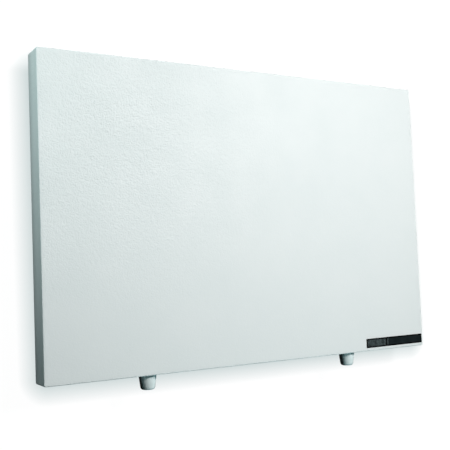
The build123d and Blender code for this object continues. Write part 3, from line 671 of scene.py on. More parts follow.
ZINC_SHEET = Finish("zinc_sheet", (0.60, 0.62, 0.64), (0.44, 0.46, 0.48), 0.58, metallic=0.6,
                    relief=Effect.SPANGLE, relief_scale=110.0, relief_depth=0.004 * MM, relief_tone=0.45,
                    patch_scale=18.0, roughness_swing=0.1, marks=0.5, mark_colour=(0.42, 0.43, 0.44))
ZINC_SCREW = BareMetal("zinc_screw", (0.70, 0.71, 0.70), (0.56, 0.58, 0.58), 0.30, relief_scale=1500.0,
                       relief_depth=0.006 * MM, patch_scale=200.0)
MOULDED_GREY = Finish("moulded_grey", (0.54, 0.55, 0.56), (0.47, 0.48, 0.49), 0.55, relief_scale=2200.0,
                      marks=0.2, mark_colour=(0.62, 0.63, 0.64), dust=0.3)
MOULDED_GLAND = Finish("moulded_gland", (0.42, 0.43, 0.44), (0.36, 0.37, 0.38), 0.48, relief_scale=2000.0,
                       relief_depth=0.02 * MM, marks=0.2, dust=0.3)
MOULDED_BLACK = Finish("moulded_black", (0.018, 0.018, 0.019), (0.026, 0.026, 0.027), 0.45,
                       relief_scale=2200.0, relief_depth=0.02 * MM)
MOULDED_WHITE = Finish("moulded_white", (0.72, 0.71, 0.67), (0.66, 0.65, 0.61), 0.5, relief_scale=2200.0,
                       relief_depth=0.02 * MM)
# Painted shade: the feet are painted nearly black everywhere but a strip at their front, standing in for the
# deep shade on their sides and back.
FOOT_RUBBER = SprayedFinish("foot_rubber", (0.80, 0.91, 0.905), (0.73, 0.83, 0.825), 0.5,
                            relief_scale=1400.0, relief_depth=0.02 * MM, patch_scale=80.0, marks=0.1,
                            dust=0.02, specular=0.1, painted_shade=(0.008, 0.010, 0.010), painted_shade_share=0.96,
                            painted_shade_fall=2.0, painted_shade_depths=(0.0475, 0.0555))
SEAL_RUBBER = Finish("seal_rubber", (0.012, 0.012, 0.012), (0.02, 0.02, 0.02), 0.7, relief_scale=1800.0)
RIVET_ALUMINIUM = BareMetal("rivet_aluminium", (0.78, 0.79, 0.80), (0.66, 0.67, 0.68), 0.34)
SPRING_STEEL = BareMetal("spring_steel", (0.48, 0.49, 0.50), (0.36, 0.37, 0.38), 0.3)
BRASS = BareMetal("brass", (0.72, 0.50, 0.20), (0.58, 0.38, 0.14), 0.3, relief_scale=1200.0,
                  relief_depth=0.006 * MM, patch_scale=150.0)
TINNED_BRASS = BareMetal("tinned_brass", (0.70, 0.69, 0.64), (0.58, 0.55, 0.46), 0.34,
                         relief_scale=1200.0, relief_depth=0.006 * MM)
CONDUCTOR = BareMetal("conductor", (0.50, 0.47, 0.42), (0.40, 0.37, 0.32), 0.38, relief_depth=0.006 * MM)
BRIGHT_FOIL = BareMetal("bright_foil", (0.86, 0.87, 0.88), (0.76, 0.77, 0.78), 0.22, relief_scale=300.0,
                        relief_depth=0.03 * MM)
ELEMENT_FILM = Finish("element_film", (0.52, 0.36, 0.15), (0.44, 0.29, 0.11), 0.35, relief_scale=500.0,
                      relief_depth=0.01 * MM, coat=0.2)
MINERAL_BOARD = Finish("mineral_board", (0.66, 0.60, 0.44), (0.54, 0.48, 0.33), 0.9, relief_scale=700.0,
                       relief_depth=0.3 * MM, relief_tone=0.6, specular=0.1, sheen=0.2)
LEAD_BROWN = Finish("lead_brown", (0.11, 0.045, 0.02), (0.09, 0.035, 0.016), 0.42, relief_scale=2000.0,
                    relief_depth=0.008 * MM)
LEAD_BLUE = Finish("lead_blue", (0.03, 0.16, 0.42), (0.025, 0.13, 0.36), 0.42, relief_scale=2000.0,
                   relief_depth=0.008 * MM)
LEAD_EARTH = StripedFinish("lead_green_yellow", (0.04, 0.26, 0.06), (0.035, 0.22, 0.05), 0.42,
                           relief_scale=2000.0, relief_depth=0.008 * MM)

FINISH_BY_SLOT: dict[str, Finish] = {"strip_film": STRIP_FIELD} | {
    finish.name: finish for finish in (
        COATING, FRAME_STEEL, FRAME_RIVET, ZINC_SHEET, ZINC_SCREW, MOULDED_GREY, MOULDED_GLAND,
        MOULDED_BLACK, MOULDED_WHITE, FOOT_RUBBER, SEAL_RUBBER, RIVET_ALUMINIUM, SPRING_STEEL, BRASS,
        TINNED_BRASS, CONDUCTOR, BRIGHT_FOIL, ELEMENT_FILM, MINERAL_BOARD, LEAD_BROWN, LEAD_BLUE,
        LEAD_EARTH,
    )
}


# ---------------------------------------------------------------- mesh helpers


@dataclass(frozen=True)
class FlatBox:
    """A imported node's box, as if the wall lay flat.

    Attributes:
        low: Lowest corner.
        high: Highest corner.
    """

    low: Vector
    high: Vector

    @classmethod
    def of(cls, node: str) -> "FlatBox":
        """Reads a node's box.

        Args:
            node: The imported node's name.

        Returns:
            Its box, turned from the standing frame.
        """
        low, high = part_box(node)
        return cls(Vector((low.x, low.z, -high.y)), Vector((high.x, high.z, -low.y)))

    @property
    def size(self) -> Vector:
        """Width, height and depth."""
        return self.high - self.low

    @property
    def middle(self) -> Vector:
        """The box's centre."""
        return (self.high + self.low) / 2


def edges_of(faces: Iterable[bmesh.types.BMFace]) -> list[bmesh.types.BMEdge]:
    """Edges of some faces, each once and in a steady order.

    Args:
        faces: The faces.

    Returns:
        Their edges.
    """
    return list(dict.fromkeys(edge for face in faces for edge in face.edges))


def open_edges(edges: Iterable[bmesh.types.BMEdge]) -> list[bmesh.types.BMEdge]:
    """Picks the edges that only one face or none uses.

    Args:
        edges: Edges to pick from.

    Returns:
        The open ones.
    """
    return [edge for edge in edges if len(edge.link_faces) < 2]


def faces_of(verts: Iterable[bmesh.types.BMVert]) -> list[bmesh.types.BMFace]:
    """Faces that meet at some vertices, each once and in a steady order.

    Args:
        verts: The vertices.

    Returns:
        Their faces.
    """
    return list(dict.fromkeys(face for vert in verts for face in vert.link_faces))


def verts_in(parts: Iterable[object]) -> list[bmesh.types.BMVert]:
    """Picks the vertices from parts of a mesh of every kind.

    Args:
        parts: Parts to pick from.

    Returns:
        The vertices.
    """
    return [part for part in parts if isinstance(part, bmesh.types.BMVert)]


def upright_edges(bm: bmesh.types.BMesh) -> list[bmesh.types.BMEdge]:
    """Edges that run along Z.

    Args:
        bm: The mesh.

    Returns:
        The edges.
    """
    return [edge for edge in bm.edges
            if abs((edge.verts[1].co - edge.verts[0].co).normalized().z) > UPRIGHT_FROM]


def block(bm: bmesh.types.BMesh, low: Vector, high: Vector) -> None:
    """Adds a plain block.

    Args:
        bm: The mesh to add to.
        low: Lowest corner.
        high: Highest corner.
    """
    place = Matrix.Translation((low + high) / 2) @ Matrix.Diagonal((*(high - low), 1.0))
    bmesh.ops.create_cube(bm, size=1.0, matrix=place)


def rectangle(bm: bmesh.types.BMesh, place: Matrix, width: float, height: float) -> None:
    """Adds one flat rectangle.

    Args:
        bm: The mesh to add to.
        place: Its centre and the way that it faces.
        width: Its width.
        height: Its height.
    """
    bmesh.ops.create_grid(bm, x_segments=1, y_segments=1, size=0.5,
                          matrix=place @ Matrix.Diagonal((width, height, 1, 1)))


def round_off(bm: bmesh.types.BMesh, parts: list[object], radius: float, segments: int,
              affect: str = "EDGES") -> None:
    """Rounds edges, or a flat outline's corners.

    Args:
        bm: The mesh.
        parts: What to round.
        radius: Radius of the rounding.
        segments: Facets across it.
        affect: EDGES, or VERTICES for corners.
    """
    bmesh.ops.bevel(bm, geom=parts, offset=radius, offset_type="OFFSET", segments=segments,
                    profile=0.5, affect=affect, clamp_overlap=True, material=-1)


def roll_edge(bm: bmesh.types.BMesh, flat: list[bmesh.types.BMFace], radius: float, steps: int) -> None:
    """Raises a flat end along a quarter round, so that it rolls over into the sides.

    Args:
        bm: The mesh.
        flat: The end's faces.
        radius: Radius of the round.
        steps: Facets across it.
    """
    angles = [i * math.pi / 2 / steps for i in range(steps + 1)]
    for before, after in zip(angles, angles[1:]):
        inward = radius * (math.cos(before) - math.cos(after))
        outward = radius * (math.sin(after) - math.sin(before))
        bmesh.ops.inset_region(bm, faces=flat, thickness=inward, depth=outward, use_even_offset=True)


def flat_faces(bm: bmesh.types.BMesh, level: float) -> list[bmesh.types.BMFace]:
    """Faces that lie flat at a level.

    Args:
        bm: The mesh.
        level: The level.

    Returns:
        The faces.
    """
    return [face for face in bm.faces if all(abs(v.co.z - level) < LEVEL_WITHIN for v in face.verts)]


def split(bm: bmesh.types.BMesh, faces: list[bmesh.types.BMFace], point: Vector, normal: Vector) -> None:
    """Cuts some faces along a plane.

    Args:
        bm: The mesh.
        faces: The faces to cut.
        point: A point of the plane.
        normal: The plane's normal.
    """
    verts = list(dict.fromkeys(vert for face in faces for vert in face.verts))
    bmesh.ops.bisect_plane(bm, geom=verts + edges_of(faces) + faces, plane_co=point, plane_no=normal)


def cut_panel(bm: bmesh.types.BMesh, box: FlatBox, level: float, margin: float) -> bmesh.types.BMFace:
    """Cuts a flat end along four lines, a margin in from its sides.

    Args:
        bm: The mesh.
        box: The end's own box.
        level: The end's level.
        margin: Distance from the sides.

    Returns:
        The face in the middle.
    """
    half = box.size / 2 - Vector((margin, margin, 0))
    for axis in (Vector((1, 0, 0)), Vector((0, 1, 0))):
        for side in (-1, 1):
            split(bm, flat_faces(bm, level), box.middle + side * axis * half.dot(axis), axis)
    return max(flat_faces(bm, level), key=lambda face: face.calc_area())


def scaled(shares: Profile, radius: float, height: float, start: float = 0.0) -> list[tuple[float, float]]:
    """Gives part of a half section its size.

    Args:
        shares: Its points, as shares of the radius and of the height.
        radius: The radius.
        height: The height.
        start: Height that the shares are counted from.

    Returns:
        Its points, as radius and height.
    """
    return [(share * radius, start + level * height) for share, level in shares]


def turned(bm: bmesh.types.BMesh, profile: Profile, steps: int) -> None:
    """Turns a half section about Z.

    Args:
        bm: An empty mesh.
        profile: Points of the half section, as radius and height.
        steps: Facets round the axis.
    """
    verts = [bm.verts.new((radius, 0.0, height)) for radius, height in profile]
    lines = [bm.edges.new(pair) for pair in zip(verts, verts[1:])]
    bmesh.ops.spin(bm, geom=verts + lines, cent=(0, 0, 0), axis=(0, 0, 1), dvec=(0, 0, 0),
                   angle=2 * math.pi, steps=steps, use_merge=True, use_duplicate=False)
    bmesh.ops.remove_doubles(bm, verts=bm.verts, dist=WELD_WITHIN)
    bmesh.ops.recalc_face_normals(bm, faces=bm.faces)


def repeated(bm: bmesh.types.BMesh, places: Sequence[Matrix]) -> None:
    """Puts a copy of the whole mesh at each place, in place of the one it was modelled at.

    Args:
        bm: The mesh.
        places: Where each copy goes.
    """
    original = bm.verts[:] + bm.edges[:] + bm.faces[:]
    for place in places[1:]:
        copy = bmesh.ops.duplicate(bm, geom=original)["geom"]
        bmesh.ops.transform(bm, matrix=place, verts=verts_in(copy))
    bmesh.ops.transform(bm, matrix=places[0], verts=verts_in(original))


def made_object(name: str, bm: bmesh.types.BMesh,
                materials: Iterable[bpy.types.Material]) -> bpy.types.Object:
    """Puts a finished mesh in the scene.

    Args:
        name: The object's name.
        bm: The mesh, which is freed.
        materials: Its materials, in the order of the faces' indices.

    Returns:
        The object.
    """
    mesh = bpy.data.meshes.new(name)
    bm.to_mesh(mesh)
    bm.free()
    for material in materials:
        mesh.materials.append(material)
    made = bpy.data.objects.new(name, mesh)
    bpy.context.scene.collection.objects.link(made)
    return made


@dataclass(frozen=True)
class Piece:
    """What a finished piece is called, what it rides on and what it stands for.

    Attributes:
        name: The object's name.
        body: The body that it rides on.
        slot: The record's material slot.
        stands_for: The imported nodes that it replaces.
        smooth_below: Angle in radians below which faces shade as one.
    """

    name: str
    body: str
    slot: str
    stands_for: tuple[str, ...]
    smooth_below: float = 0.6

    def finish(self, bm: bmesh.types.BMesh, *finishes: Finish) -> None:
        """Stands a flat mesh up and makes it an object that rides on its body.

        Args:
            bm: The mesh, as if the wall lay flat.
            finishes: The finishes in the order of the faces' indices, or none for the slot's own.
        """
        bmesh.ops.transform(bm, matrix=STAND, verts=bm.verts)
        for edge in bm.edges:
            edge.smooth = len(edge.link_faces) == 2 and edge.calc_face_angle(0.0) < self.smooth_below
        for face in bm.faces:
            face.smooth = True
        worn = finishes or (FINISH_BY_SLOT[self.slot],)
        made = made_object(self.name, bm, [finish.material() for finish in worn])
        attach(made, self.body)
        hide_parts(*self.stands_for)
        LOG.info("%s: %d faces, rides on %s", self.name, len(made.data.polygons), self.body)


# ---------------------------------------------------------------- casing


@dataclass
class FrontCasing:
    """Folded sheet casing: a front with four sides and a mitred lip round the open back.

    Attributes:
        sheet: Thickness of the sheet.
        corner: Outside radius of the four corners, seen from the front.
        fold: Outside radius of the folded edges.
        lip: Width of the lip round the back.
        mitre_gap: Gap between two lips.
        mitre_stop: Distance from a fold to the end of a mitre.
        corner_steps: Facets round a corner.
        fold_steps: Facets across a fold.
        front_cuts: Cuts of the front each way.
        border: Plain margin round the divided part of the front.
        wave_depth: Height of the sheet's own slow waves.
        wave_fade: Distance from the border where the waves reach that height.
        wave_scale: Waves a metre.
        box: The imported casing's box.
    """

    sheet: float = 1.0 * MM
    corner: float = 2.4 * MM
    fold: float = 1.2 * MM
    lip: float = 14.0 * MM
    mitre_gap: float = 0.6 * MM
    mitre_stop: float = 1.2 * MM
    corner_steps: int = 6
    fold_steps: int = 6
    front_cuts: int = 99
    border: float = 4.0 * MM
    wave_depth: float = 0.08 * MM
    wave_fade: float = 40.0 * MM
    wave_scale: float = 11.0
    box: FlatBox = field(default_factory=lambda: FlatBox.of("front_casing"))

    def shell(self, bm: bmesh.types.BMesh) -> None:
        """Adds the casing's outer skin, its back still closed.

        Args:
            bm: An empty mesh.
        """
        inset = Vector((0, 0, self.fold))
        block(bm, self.box.low + inset, self.box.high - inset)
        round_off(bm, upright_edges(bm), self.corner, self.corner_steps)
        for end in (self.box.low.z + self.fold, self.box.high.z - self.fold):
            roll_edge(bm, flat_faces(bm, end), self.fold, self.fold_steps)

    def lip_faces(self, bm: bmesh.types.BMesh, corner: Vector) -> list[bmesh.types.BMFace]:
        """Faces of the lip near a corner of the back.

        Args:
            bm: The skin.
            corner: The corner.

        Returns:
            Flat faces that reach within twice the lip's width of the corner.
        """
        near = 2 * self.lip
        return [face for face in flat_faces(bm, self.box.low.z)
                if any((v.co - corner).xy.length < near for v in face.verts)]

    def cut_mitre(self, bm: bmesh.types.BMesh, sx: int, sy: int) -> None:
        """Opens the gap between two lips at a corner of the back.

        Args:
            bm: The skin.
            sx: Side of the corner, left -1 or right 1.
            sy: Side of the corner, bottom -1 or top 1.
        """
        outer = self.box.middle + Vector((sx * self.box.size.x, sy * self.box.size.y, 0.0)) / 2
        end = outer - Vector((sx, sy, 0)) * (self.fold + self.mitre_stop)
        inward = Vector((-sx, -sy, 0)).normalized()
        across = Vector((-inward.y, inward.x, 0))
        for point, normal in ((end + across * self.mitre_gap / 2, across),
                              (end - across * self.mitre_gap / 2, across), (end, inward)):
            split(bm, self.lip_faces(bm, outer), point, normal)
        slot = []
        for face in self.lip_faces(bm, outer):
            offset = face.calc_center_median() - end
            if abs(offset.dot(across)) < self.mitre_gap / 2 and offset.dot(inward) > 0:
                slot.append(face)
        bmesh.ops.delete(bm, geom=slot, context="FACES")

    def wave_front(self, bm: bmesh.types.BMesh) -> None:
        """Gives the front the slow waves of a large thin sheet, which only ever go inwards.

        Args:
            bm: The skin.
        """
        level = self.box.high.z
        middle = cut_panel(bm, self.box, level, self.fold + self.border)
        bmesh.ops.subdivide_edges(bm, edges=middle.edges[:], cuts=self.front_cuts, use_grid_fill=True)
        half = self.box.size / 2
        for vert in bm.verts:
            if abs(vert.co.z - level) < LEVEL_WITHIN:
                away = vert.co - self.box.middle
                rim = max(abs(away.x) - half.x, abs(away.y) - half.y) + self.fold + self.border
                fade = min(1.0, max(0.0, -rim / self.wave_fade))
                wave = noise.noise(Vector((vert.co.x, vert.co.y, 0.0)) * self.wave_scale)
                vert.co.z -= self.wave_depth * fade * (0.5 + 0.5 * wave)

    def build(self) -> None:
        """Makes the casing."""
        bm = bmesh.new()
        self.shell(bm)
        opening = cut_panel(bm, self.box, self.box.low.z, self.lip)
        bmesh.ops.delete(bm, geom=[opening], context="FACES")
        for sx in (-1, 1):
            for sy in (-1, 1):
                self.cut_mitre(bm, sx, sy)
        self.wave_front(bm)
        bmesh.ops.recalc_face_normals(bm, faces=bm.faces)
        bmesh.ops.solidify(bm, geom=bm.faces, thickness=self.sheet)
        Piece("coated_front_casing", HEATER, "casing_coating", ("front_casing",)).finish(bm)


class StripPart(IntEnum):
    """Parts of the bare strip with a finish of their own, by the index of their faces' material."""

    RIM = 0
    FIELD = 1
    PANEL = 2


@dataclass
class BareStrip:
    """Bare dark strip on the front: a rim round a mottled panel, a narrow bar and a plain field.

    Attributes:
        rim: Width of the rim.
        stops: Where the panel ends, the bar starts and ends, and the field starts, from the left.
        step: How far the panel, the bar and the field lie under the rim.
        corner: Radius of the strip's corners.
        edge: Radius of the strip's upper edge.
        box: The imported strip's box.
    """

    rim: float = 1.9 * MM
    stops: tuple[float, ...] = (37.0 * MM, 39.5 * MM, 42.5 * MM, 43.5 * MM)
    step: float = 0.08 * MM
    corner: float = 0.6 * MM
    edge: float = 0.12 * MM
    box: FlatBox = field(default_factory=lambda: FlatBox.of("name_strip"))

    def within_rim(self, bm: bmesh.types.BMesh) -> list[bmesh.types.BMFace]:
        """Faces of the strip's front within the rim.

        Args:
            bm: The strip.

        Returns:
            The faces.
        """
        half = self.box.size / 2 - Vector((self.rim, self.rim, 0))
        faces = []
        for face in flat_faces(bm, self.box.high.z):
            out = face.calc_center_median() - self.box.middle
            if abs(out.y) < half.y and abs(out.x) < half.x:
                faces.append(face)
        return faces

    def sink_fields(self, bm: bmesh.types.BMesh) -> None:
        """Sinks the panel, the bar and the field, each with its material.

        Args:
            bm: The strip, its front divided at the rim.
        """
        ends = [self.box.low.x + stop for stop in self.stops]
        for end in ends:
            split(bm, self.within_rim(bm), Vector((end, 0, 0)), Vector((1, 0, 0)))
        sunk = []
        for face in self.within_rim(bm):
            passed = sum(face.calc_center_median().x > end for end in ends)
            if passed % 2 == 0:
                face.material_index = StripPart.FIELD if passed == len(ends) else StripPart.PANEL
                sunk.append(face)
        bmesh.ops.inset_individual(bm, faces=sunk, thickness=self.step, depth=-self.step,
                                   use_even_offset=True)

    def build(self) -> None:
        """Makes the strip."""
        bm = bmesh.new()
        block(bm, self.box.low, self.box.high)
        round_off(bm, upright_edges(bm), self.corner, 3)
        round_off(bm, flat_faces(bm, self.box.high.z)[0].edges[:], self.edge, 2)
        bmesh.ops.inset_region(bm, faces=flat_faces(bm, self.box.high.z), thickness=self.rim - self.edge,
                               use_even_offset=True)
        self.sink_fields(bm)
        finishes = {StripPart.RIM: STRIP_RIM, StripPart.FIELD: STRIP_FIELD, StripPart.PANEL: STRIP_HATCH}
        piece = Piece("bare_front_strip", HEATER, "strip_film", ("name_strip",), smooth_below=0.4)
        piece.finish(bm, *(finishes[part] for part in StripPart))


@dataclass
class Foot:
    """Tapered foot with a rounded rim, a moulded collar line and a bore for its screw.

    Attributes:
        side: Left -1 or right 1.
        top_radius: Radius at the casing.
        bottom_radius: Radius at the rim, before its rounding.
        rim_radius: Rounding of the rim.
        bore_radius: Radius of the bore from below.
        bore_depth: Depth of the bore.
        shank_radius: Radius of the hole for the screw.
        nut_radius: Radius of the relief round the rivet nut's flange.
        nut_depth: Depth of that relief.
        lead_in: Chamfer at the bore's mouth.
        steps: Facets round the foot.
        rim_steps: Facets across the rim's rounding.
    """

    side: int
    top_radius: float = 11.5 * MM
    bottom_radius: float = 9.0 * MM
    rim_radius: float = 3.2 * MM
    bore_radius: float = 5.2 * MM
    bore_depth: float = 11.0 * MM
    shank_radius: float = 2.25 * MM
    nut_radius: float = 4.85 * MM
    nut_depth: float = 0.8 * MM
    lead_in: float = 0.5 * MM
    steps: int = 72
    rim_steps: int = 8

    def profile(self, height: float) -> list[tuple[float, float]]:
        """Half section of the foot, with its seat at zero.

        Args:
            height: Height of the foot.

        Returns:
            Its points, as radius and distance from the seat.
        """
        floor = height - self.bore_depth
        return [
            (self.shank_radius, self.nut_depth), (self.nut_radius, self.nut_depth), (self.nut_radius, 0.0),
            (self.top_radius, 0.0), (self.bottom_radius, height), (self.bore_radius + self.lead_in, height),
            (self.bore_radius, height - self.lead_in), (self.bore_radius, floor), (self.shank_radius, floor),
            (self.shank_radius, self.nut_depth),
        ]

    def round_ring(self, bm: bmesh.types.BMesh, level: float, beyond: float, radius: float,
                   segments: int) -> None:
        """Rounds the outer edge of one end.

        Args:
            bm: The foot.
            level: The end's level.
            beyond: Radius that only the outer edge lies beyond.
            radius: Radius of the rounding.
            segments: Facets across it.
        """
        ring = [edge for edge in bm.edges
                if all(abs(v.co.z - level) < LEVEL_WITHIN and v.co.xy.length > beyond for v in edge.verts)]
        round_off(bm, ring, radius, segments)

    def build(self) -> None:
        """Makes the foot."""
        node = "foot_left" if self.side < 0 else "foot_right"
        box = FlatBox.of(node)
        height = box.size.y
        bm = bmesh.new()
        turned(bm, self.profile(height), self.steps)
        self.round_ring(bm, height, self.bore_radius + 2 * self.lead_in, self.rim_radius, self.rim_steps)
        self.round_ring(bm, 0.0, self.nut_radius + 2 * self.lead_in, self.lead_in / 2, 2)
        seat = Vector((box.middle.x, box.high.y, box.middle.z))
        bmesh.ops.transform(bm, matrix=Matrix.Translation(seat) @ QUARTER_TURN, verts=bm.verts)
        Piece("rubber_" + node, HEATER, "foot_rubber", (node,)).finish(bm)


# ---------------------------------------------------------------- fasteners


class Drive(Enum):
    """How a screw is driven."""

    CROSS = "cross"
    HEXAGON = "hexagon"


@dataclass(frozen=True)
class Recess:
    """Recess sunk into the open flat end of a turned head, towards positive Z.

    Attributes:
        drive: Its kind.
        reach: Half its width.
        depth: Its depth.
        taper: Width of its floor as a share of its mouth's.
    """

    drive: Drive
    reach: float
    depth: float
    taper: float = 0.8

    def outline(self, bm: bmesh.types.BMesh, level: float) -> list[bmesh.types.BMFace]:
        """Adds flat faces with the recess's outline.

        Args:
            bm: The head's mesh.
            level: Height of the head's end.

        Returns:
            The faces.
        """
        end = Matrix.Translation((0, 0, level))
        if self.drive is Drive.HEXAGON:
            verts = bmesh.ops.create_circle(bm, cap_ends=True, segments=6, radius=self.reach,
                                            matrix=end)["verts"]
            return faces_of(verts)
        # A grid of nine becomes a cross: its inner lines move to the slots' sides, and its corners go.
        slot = self.reach / 4
        verts = bmesh.ops.create_grid(bm, x_segments=3, y_segments=3, size=self.reach, matrix=end)["verts"]
        for vert in verts:
            for axis in (0, 1):
                if abs(vert.co[axis]) < self.reach / 2:
                    vert.co[axis] = math.copysign(slot, vert.co[axis])
        faces = faces_of(verts)
        corners = []
        for face in faces:
            middle = face.calc_center_median()
            if min(abs(middle.x), abs(middle.y)) > slot:
                corners.append(face)
        bmesh.ops.delete(bm, geom=corners, context="FACES")
        return [face for face in faces if face.is_valid]

    def sink(self, bm: bmesh.types.BMesh, level: float) -> None:
        """Closes the head's open end with the recess.

        Args:
            bm: The head's mesh, open only at its end.
            level: Height of that end.
        """
        mouth = open_edges(bm.edges)
        faces = self.outline(bm, level)
        bmesh.ops.bridge_loops(bm, edges=mouth + open_edges(edges_of(faces)))
        grown = bmesh.ops.extrude_face_region(bm, geom=faces)["geom"]
        bmesh.ops.delete(bm, geom=faces, context="FACES")
        floor = verts_in(grown)
        bmesh.ops.translate(bm, vec=(0, 0, self.depth), verts=floor)
        bmesh.ops.scale(bm, vec=(self.taper, self.taper, 1.0), verts=floor)
        bmesh.ops.recalc_face_normals(bm, faces=bm.faces)


class Fastener(ABC):
    """A small turned fastener. Its seat is at z = 0, and its shank goes along Z."""

    @abstractmethod
    def mesh(self, bm: bmesh.types.BMesh) -> None:
        """Adds the fastener to an empty mesh.

        Args:
            bm: An empty mesh.
        """


PAN_HEAD: Profile = ((0.62, -1.0), (0.80, -0.90), (0.93, -0.68), (1.0, -0.40), (1.0, -0.06), (0.96, 0.0))
RIVET_HEAD: Profile = (
    (0.97, 0.0), (1.0, 0.10), (0.97, 0.35), (0.86, 0.70), (0.68, 0.93), (0.50, 1.0), (0.40, 0.93),
    (0.35, 0.55), (0.28, 0.50), (0.26, 0.75), (0.22, 0.82), (0.0, 0.80),
)


@dataclass(frozen=True)
class PanScrew(Fastener):
    """Pan-head screw with a cross recess. Its head is below its seat.

    Attributes:
        shank_radius: Radius of the shank.
        head_radius: Radius of the head.
        head_height: Height of the head.
        length: Length of the shank.
        tip: Chamfer of the shank's end, as a share of the shank's radius.
        cross: Half the width of the recess, as a share of the head's radius.
        cross_depth: Its depth, as a share of the head's height.
        cross_taper: Width of its floor, as a share of its mouth's.
        steps: Facets round the screw.
    """

    shank_radius: float
    head_radius: float
    head_height: float
    length: float
    tip: float = 0.4
    cross: float = 0.48
    cross_depth: float = 0.6
    cross_taper: float = 0.7
    steps: int = 32

    def mesh(self, bm: bmesh.types.BMesh) -> None:
        """Adds the screw to an empty mesh.

        Args:
            bm: An empty mesh.
        """
        shank, tip = self.shank_radius, self.tip * self.shank_radius
        turned(bm, scaled(PAN_HEAD, self.head_radius, self.head_height) + [
            (shank, 0.0), (shank, self.length - tip), (shank - tip, self.length), (0.0, self.length),
        ], self.steps)
        recess = Recess(Drive.CROSS, self.cross * self.head_radius, self.cross_depth * self.head_height,
                        self.cross_taper)
        recess.sink(bm, -self.head_height)


@dataclass(frozen=True)
class HangingStud(Fastener):
    """Shouldered stud: a collar against the rear cover, a neck and a head with a hexagon socket.

    Attributes:
        reach: Distance from the seat to the head's end.
        length: Length of the thread past the seat.
        collar_radius: Radius of the collar.
        collar_length: Length of the collar.
        neck_radius: Radius of the neck that stands in the keyhole.
        head_radius: Radius of the head behind the rail.
        head_height: Height of the head.
        thread_radius: Radius of the thread.
        socket: Half the width of the socket across its corners.
        socket_depth: Depth of the socket.
        ring: Radius of the mesh's ring round the socket.
        edge: Chamfer of the turned edges.
        end_edge: Width of the chamfer round the head's end.
        steps: Facets round the stud.
    """

    reach: float
    length: float
    collar_radius: float = 7.0 * MM
    collar_length: float = 4.0 * MM
    neck_radius: float = 3.5 * MM
    head_radius: float = 6.5 * MM
    head_height: float = 3.0 * MM
    thread_radius: float = 3.0 * MM
    socket: float = 2.2 * MM
    socket_depth: float = 1.8 * MM
    ring: float = 3.25 * MM
    edge: float = 0.4 * MM
    end_edge: float = 0.6 * MM
    steps: int = 64

    def mesh(self, bm: bmesh.types.BMesh) -> None:
        """Adds the stud to an empty mesh.

        Args:
            bm: An empty mesh.
        """
        e, under = self.edge, self.head_height - self.reach
        head, neck = self.head_radius, self.neck_radius
        collar, thread = self.collar_radius, self.thread_radius
        turned(bm, [
            (self.ring, -self.reach), (head - self.end_edge, -self.reach), (head, e - self.reach),
            (head, under - e), (head - e, under), (neck, under), (neck, -self.collar_length),
            (collar - e, -self.collar_length), (collar, e - self.collar_length), (collar, -e),
            (collar - e, 0.0), (thread, 0.0), (thread, self.length - e), (thread - e, self.length),
            (0.0, self.length),
        ], self.steps)
        Recess(Drive.HEXAGON, self.socket, self.socket_depth).sink(bm, -self.reach)


@dataclass(frozen=True)
class BlindRivet(Fastener):
    """Blind rivet: a shank below its seat, and a domed head above it with the broken pin in its dimple.

    Attributes:
        radius: Radius of the shank.
        grip: Length of the shank.
        head_radius: Radius of the head.
        head_height: Height of the head.
        steps: Facets round the rivet.
    """

    radius: float = 2.0 * MM
    grip: float = 2.8 * MM
    head_radius: float = 3.6 * MM
    head_height: float = 1.2 * MM
    steps: int = 40

    def mesh(self, bm: bmesh.types.BMesh) -> None:
        """Adds the rivet to an empty mesh.

        Args:
            bm: An empty mesh.
        """
        shank = [(0.0, -self.grip), (self.radius, -self.grip), (self.radius, 0.0)]
        turned(bm, shank + scaled(RIVET_HEAD, self.head_radius, self.head_height), self.steps)


@dataclass(frozen=True)
class Fasteners:
    """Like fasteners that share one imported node.

    Attributes:
        name: Name of the group's object.
        node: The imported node.
        shape: The fastener.
        places: Where each stands.
        body: The body that they ride on.
        slot: The record's material slot.
    """

    name: str
    node: str
    shape: Fastener
    places: tuple[Matrix, ...]
    body: str = HEATER
    slot: str = "zinc_screw"

    def build(self) -> None:
        """Makes the fasteners."""
        bm = bmesh.new()
        self.shape.mesh(bm)
        repeated(bm, self.places)
        Piece(self.name, self.body, self.slot, (self.node,), smooth_below=0.5).finish(bm)


def at(x: float, y: float, z: float, turn: float = 0.0) -> Matrix:
    """A place that faces out of the wall.

    Args:
        x: Place to the right.
        y: Place up the wall.
        z: Place out of the wall.
        turn: Turn about the fastener's own axis in radians.

    Returns:
        The place's matrix.
    """
    return Matrix.Translation((x, y, z)) @ Matrix.Rotation(turn, 4, "Z")


def four_corners(box: FlatBox, inset: float) -> list[tuple[float, float]]:
    """Four places, each an inset in from a corner of a box.

    Args:
        box: The box.
        inset: Distance from the box's sides.

    Returns:
        The places, across and up.
    """
    return [(box.middle.x + sx * (box.size.x / 2 - inset), box.middle.y + sy * (box.size.y / 2 - inset))
            for sy in (-1, 1) for sx in (-1, 1)]


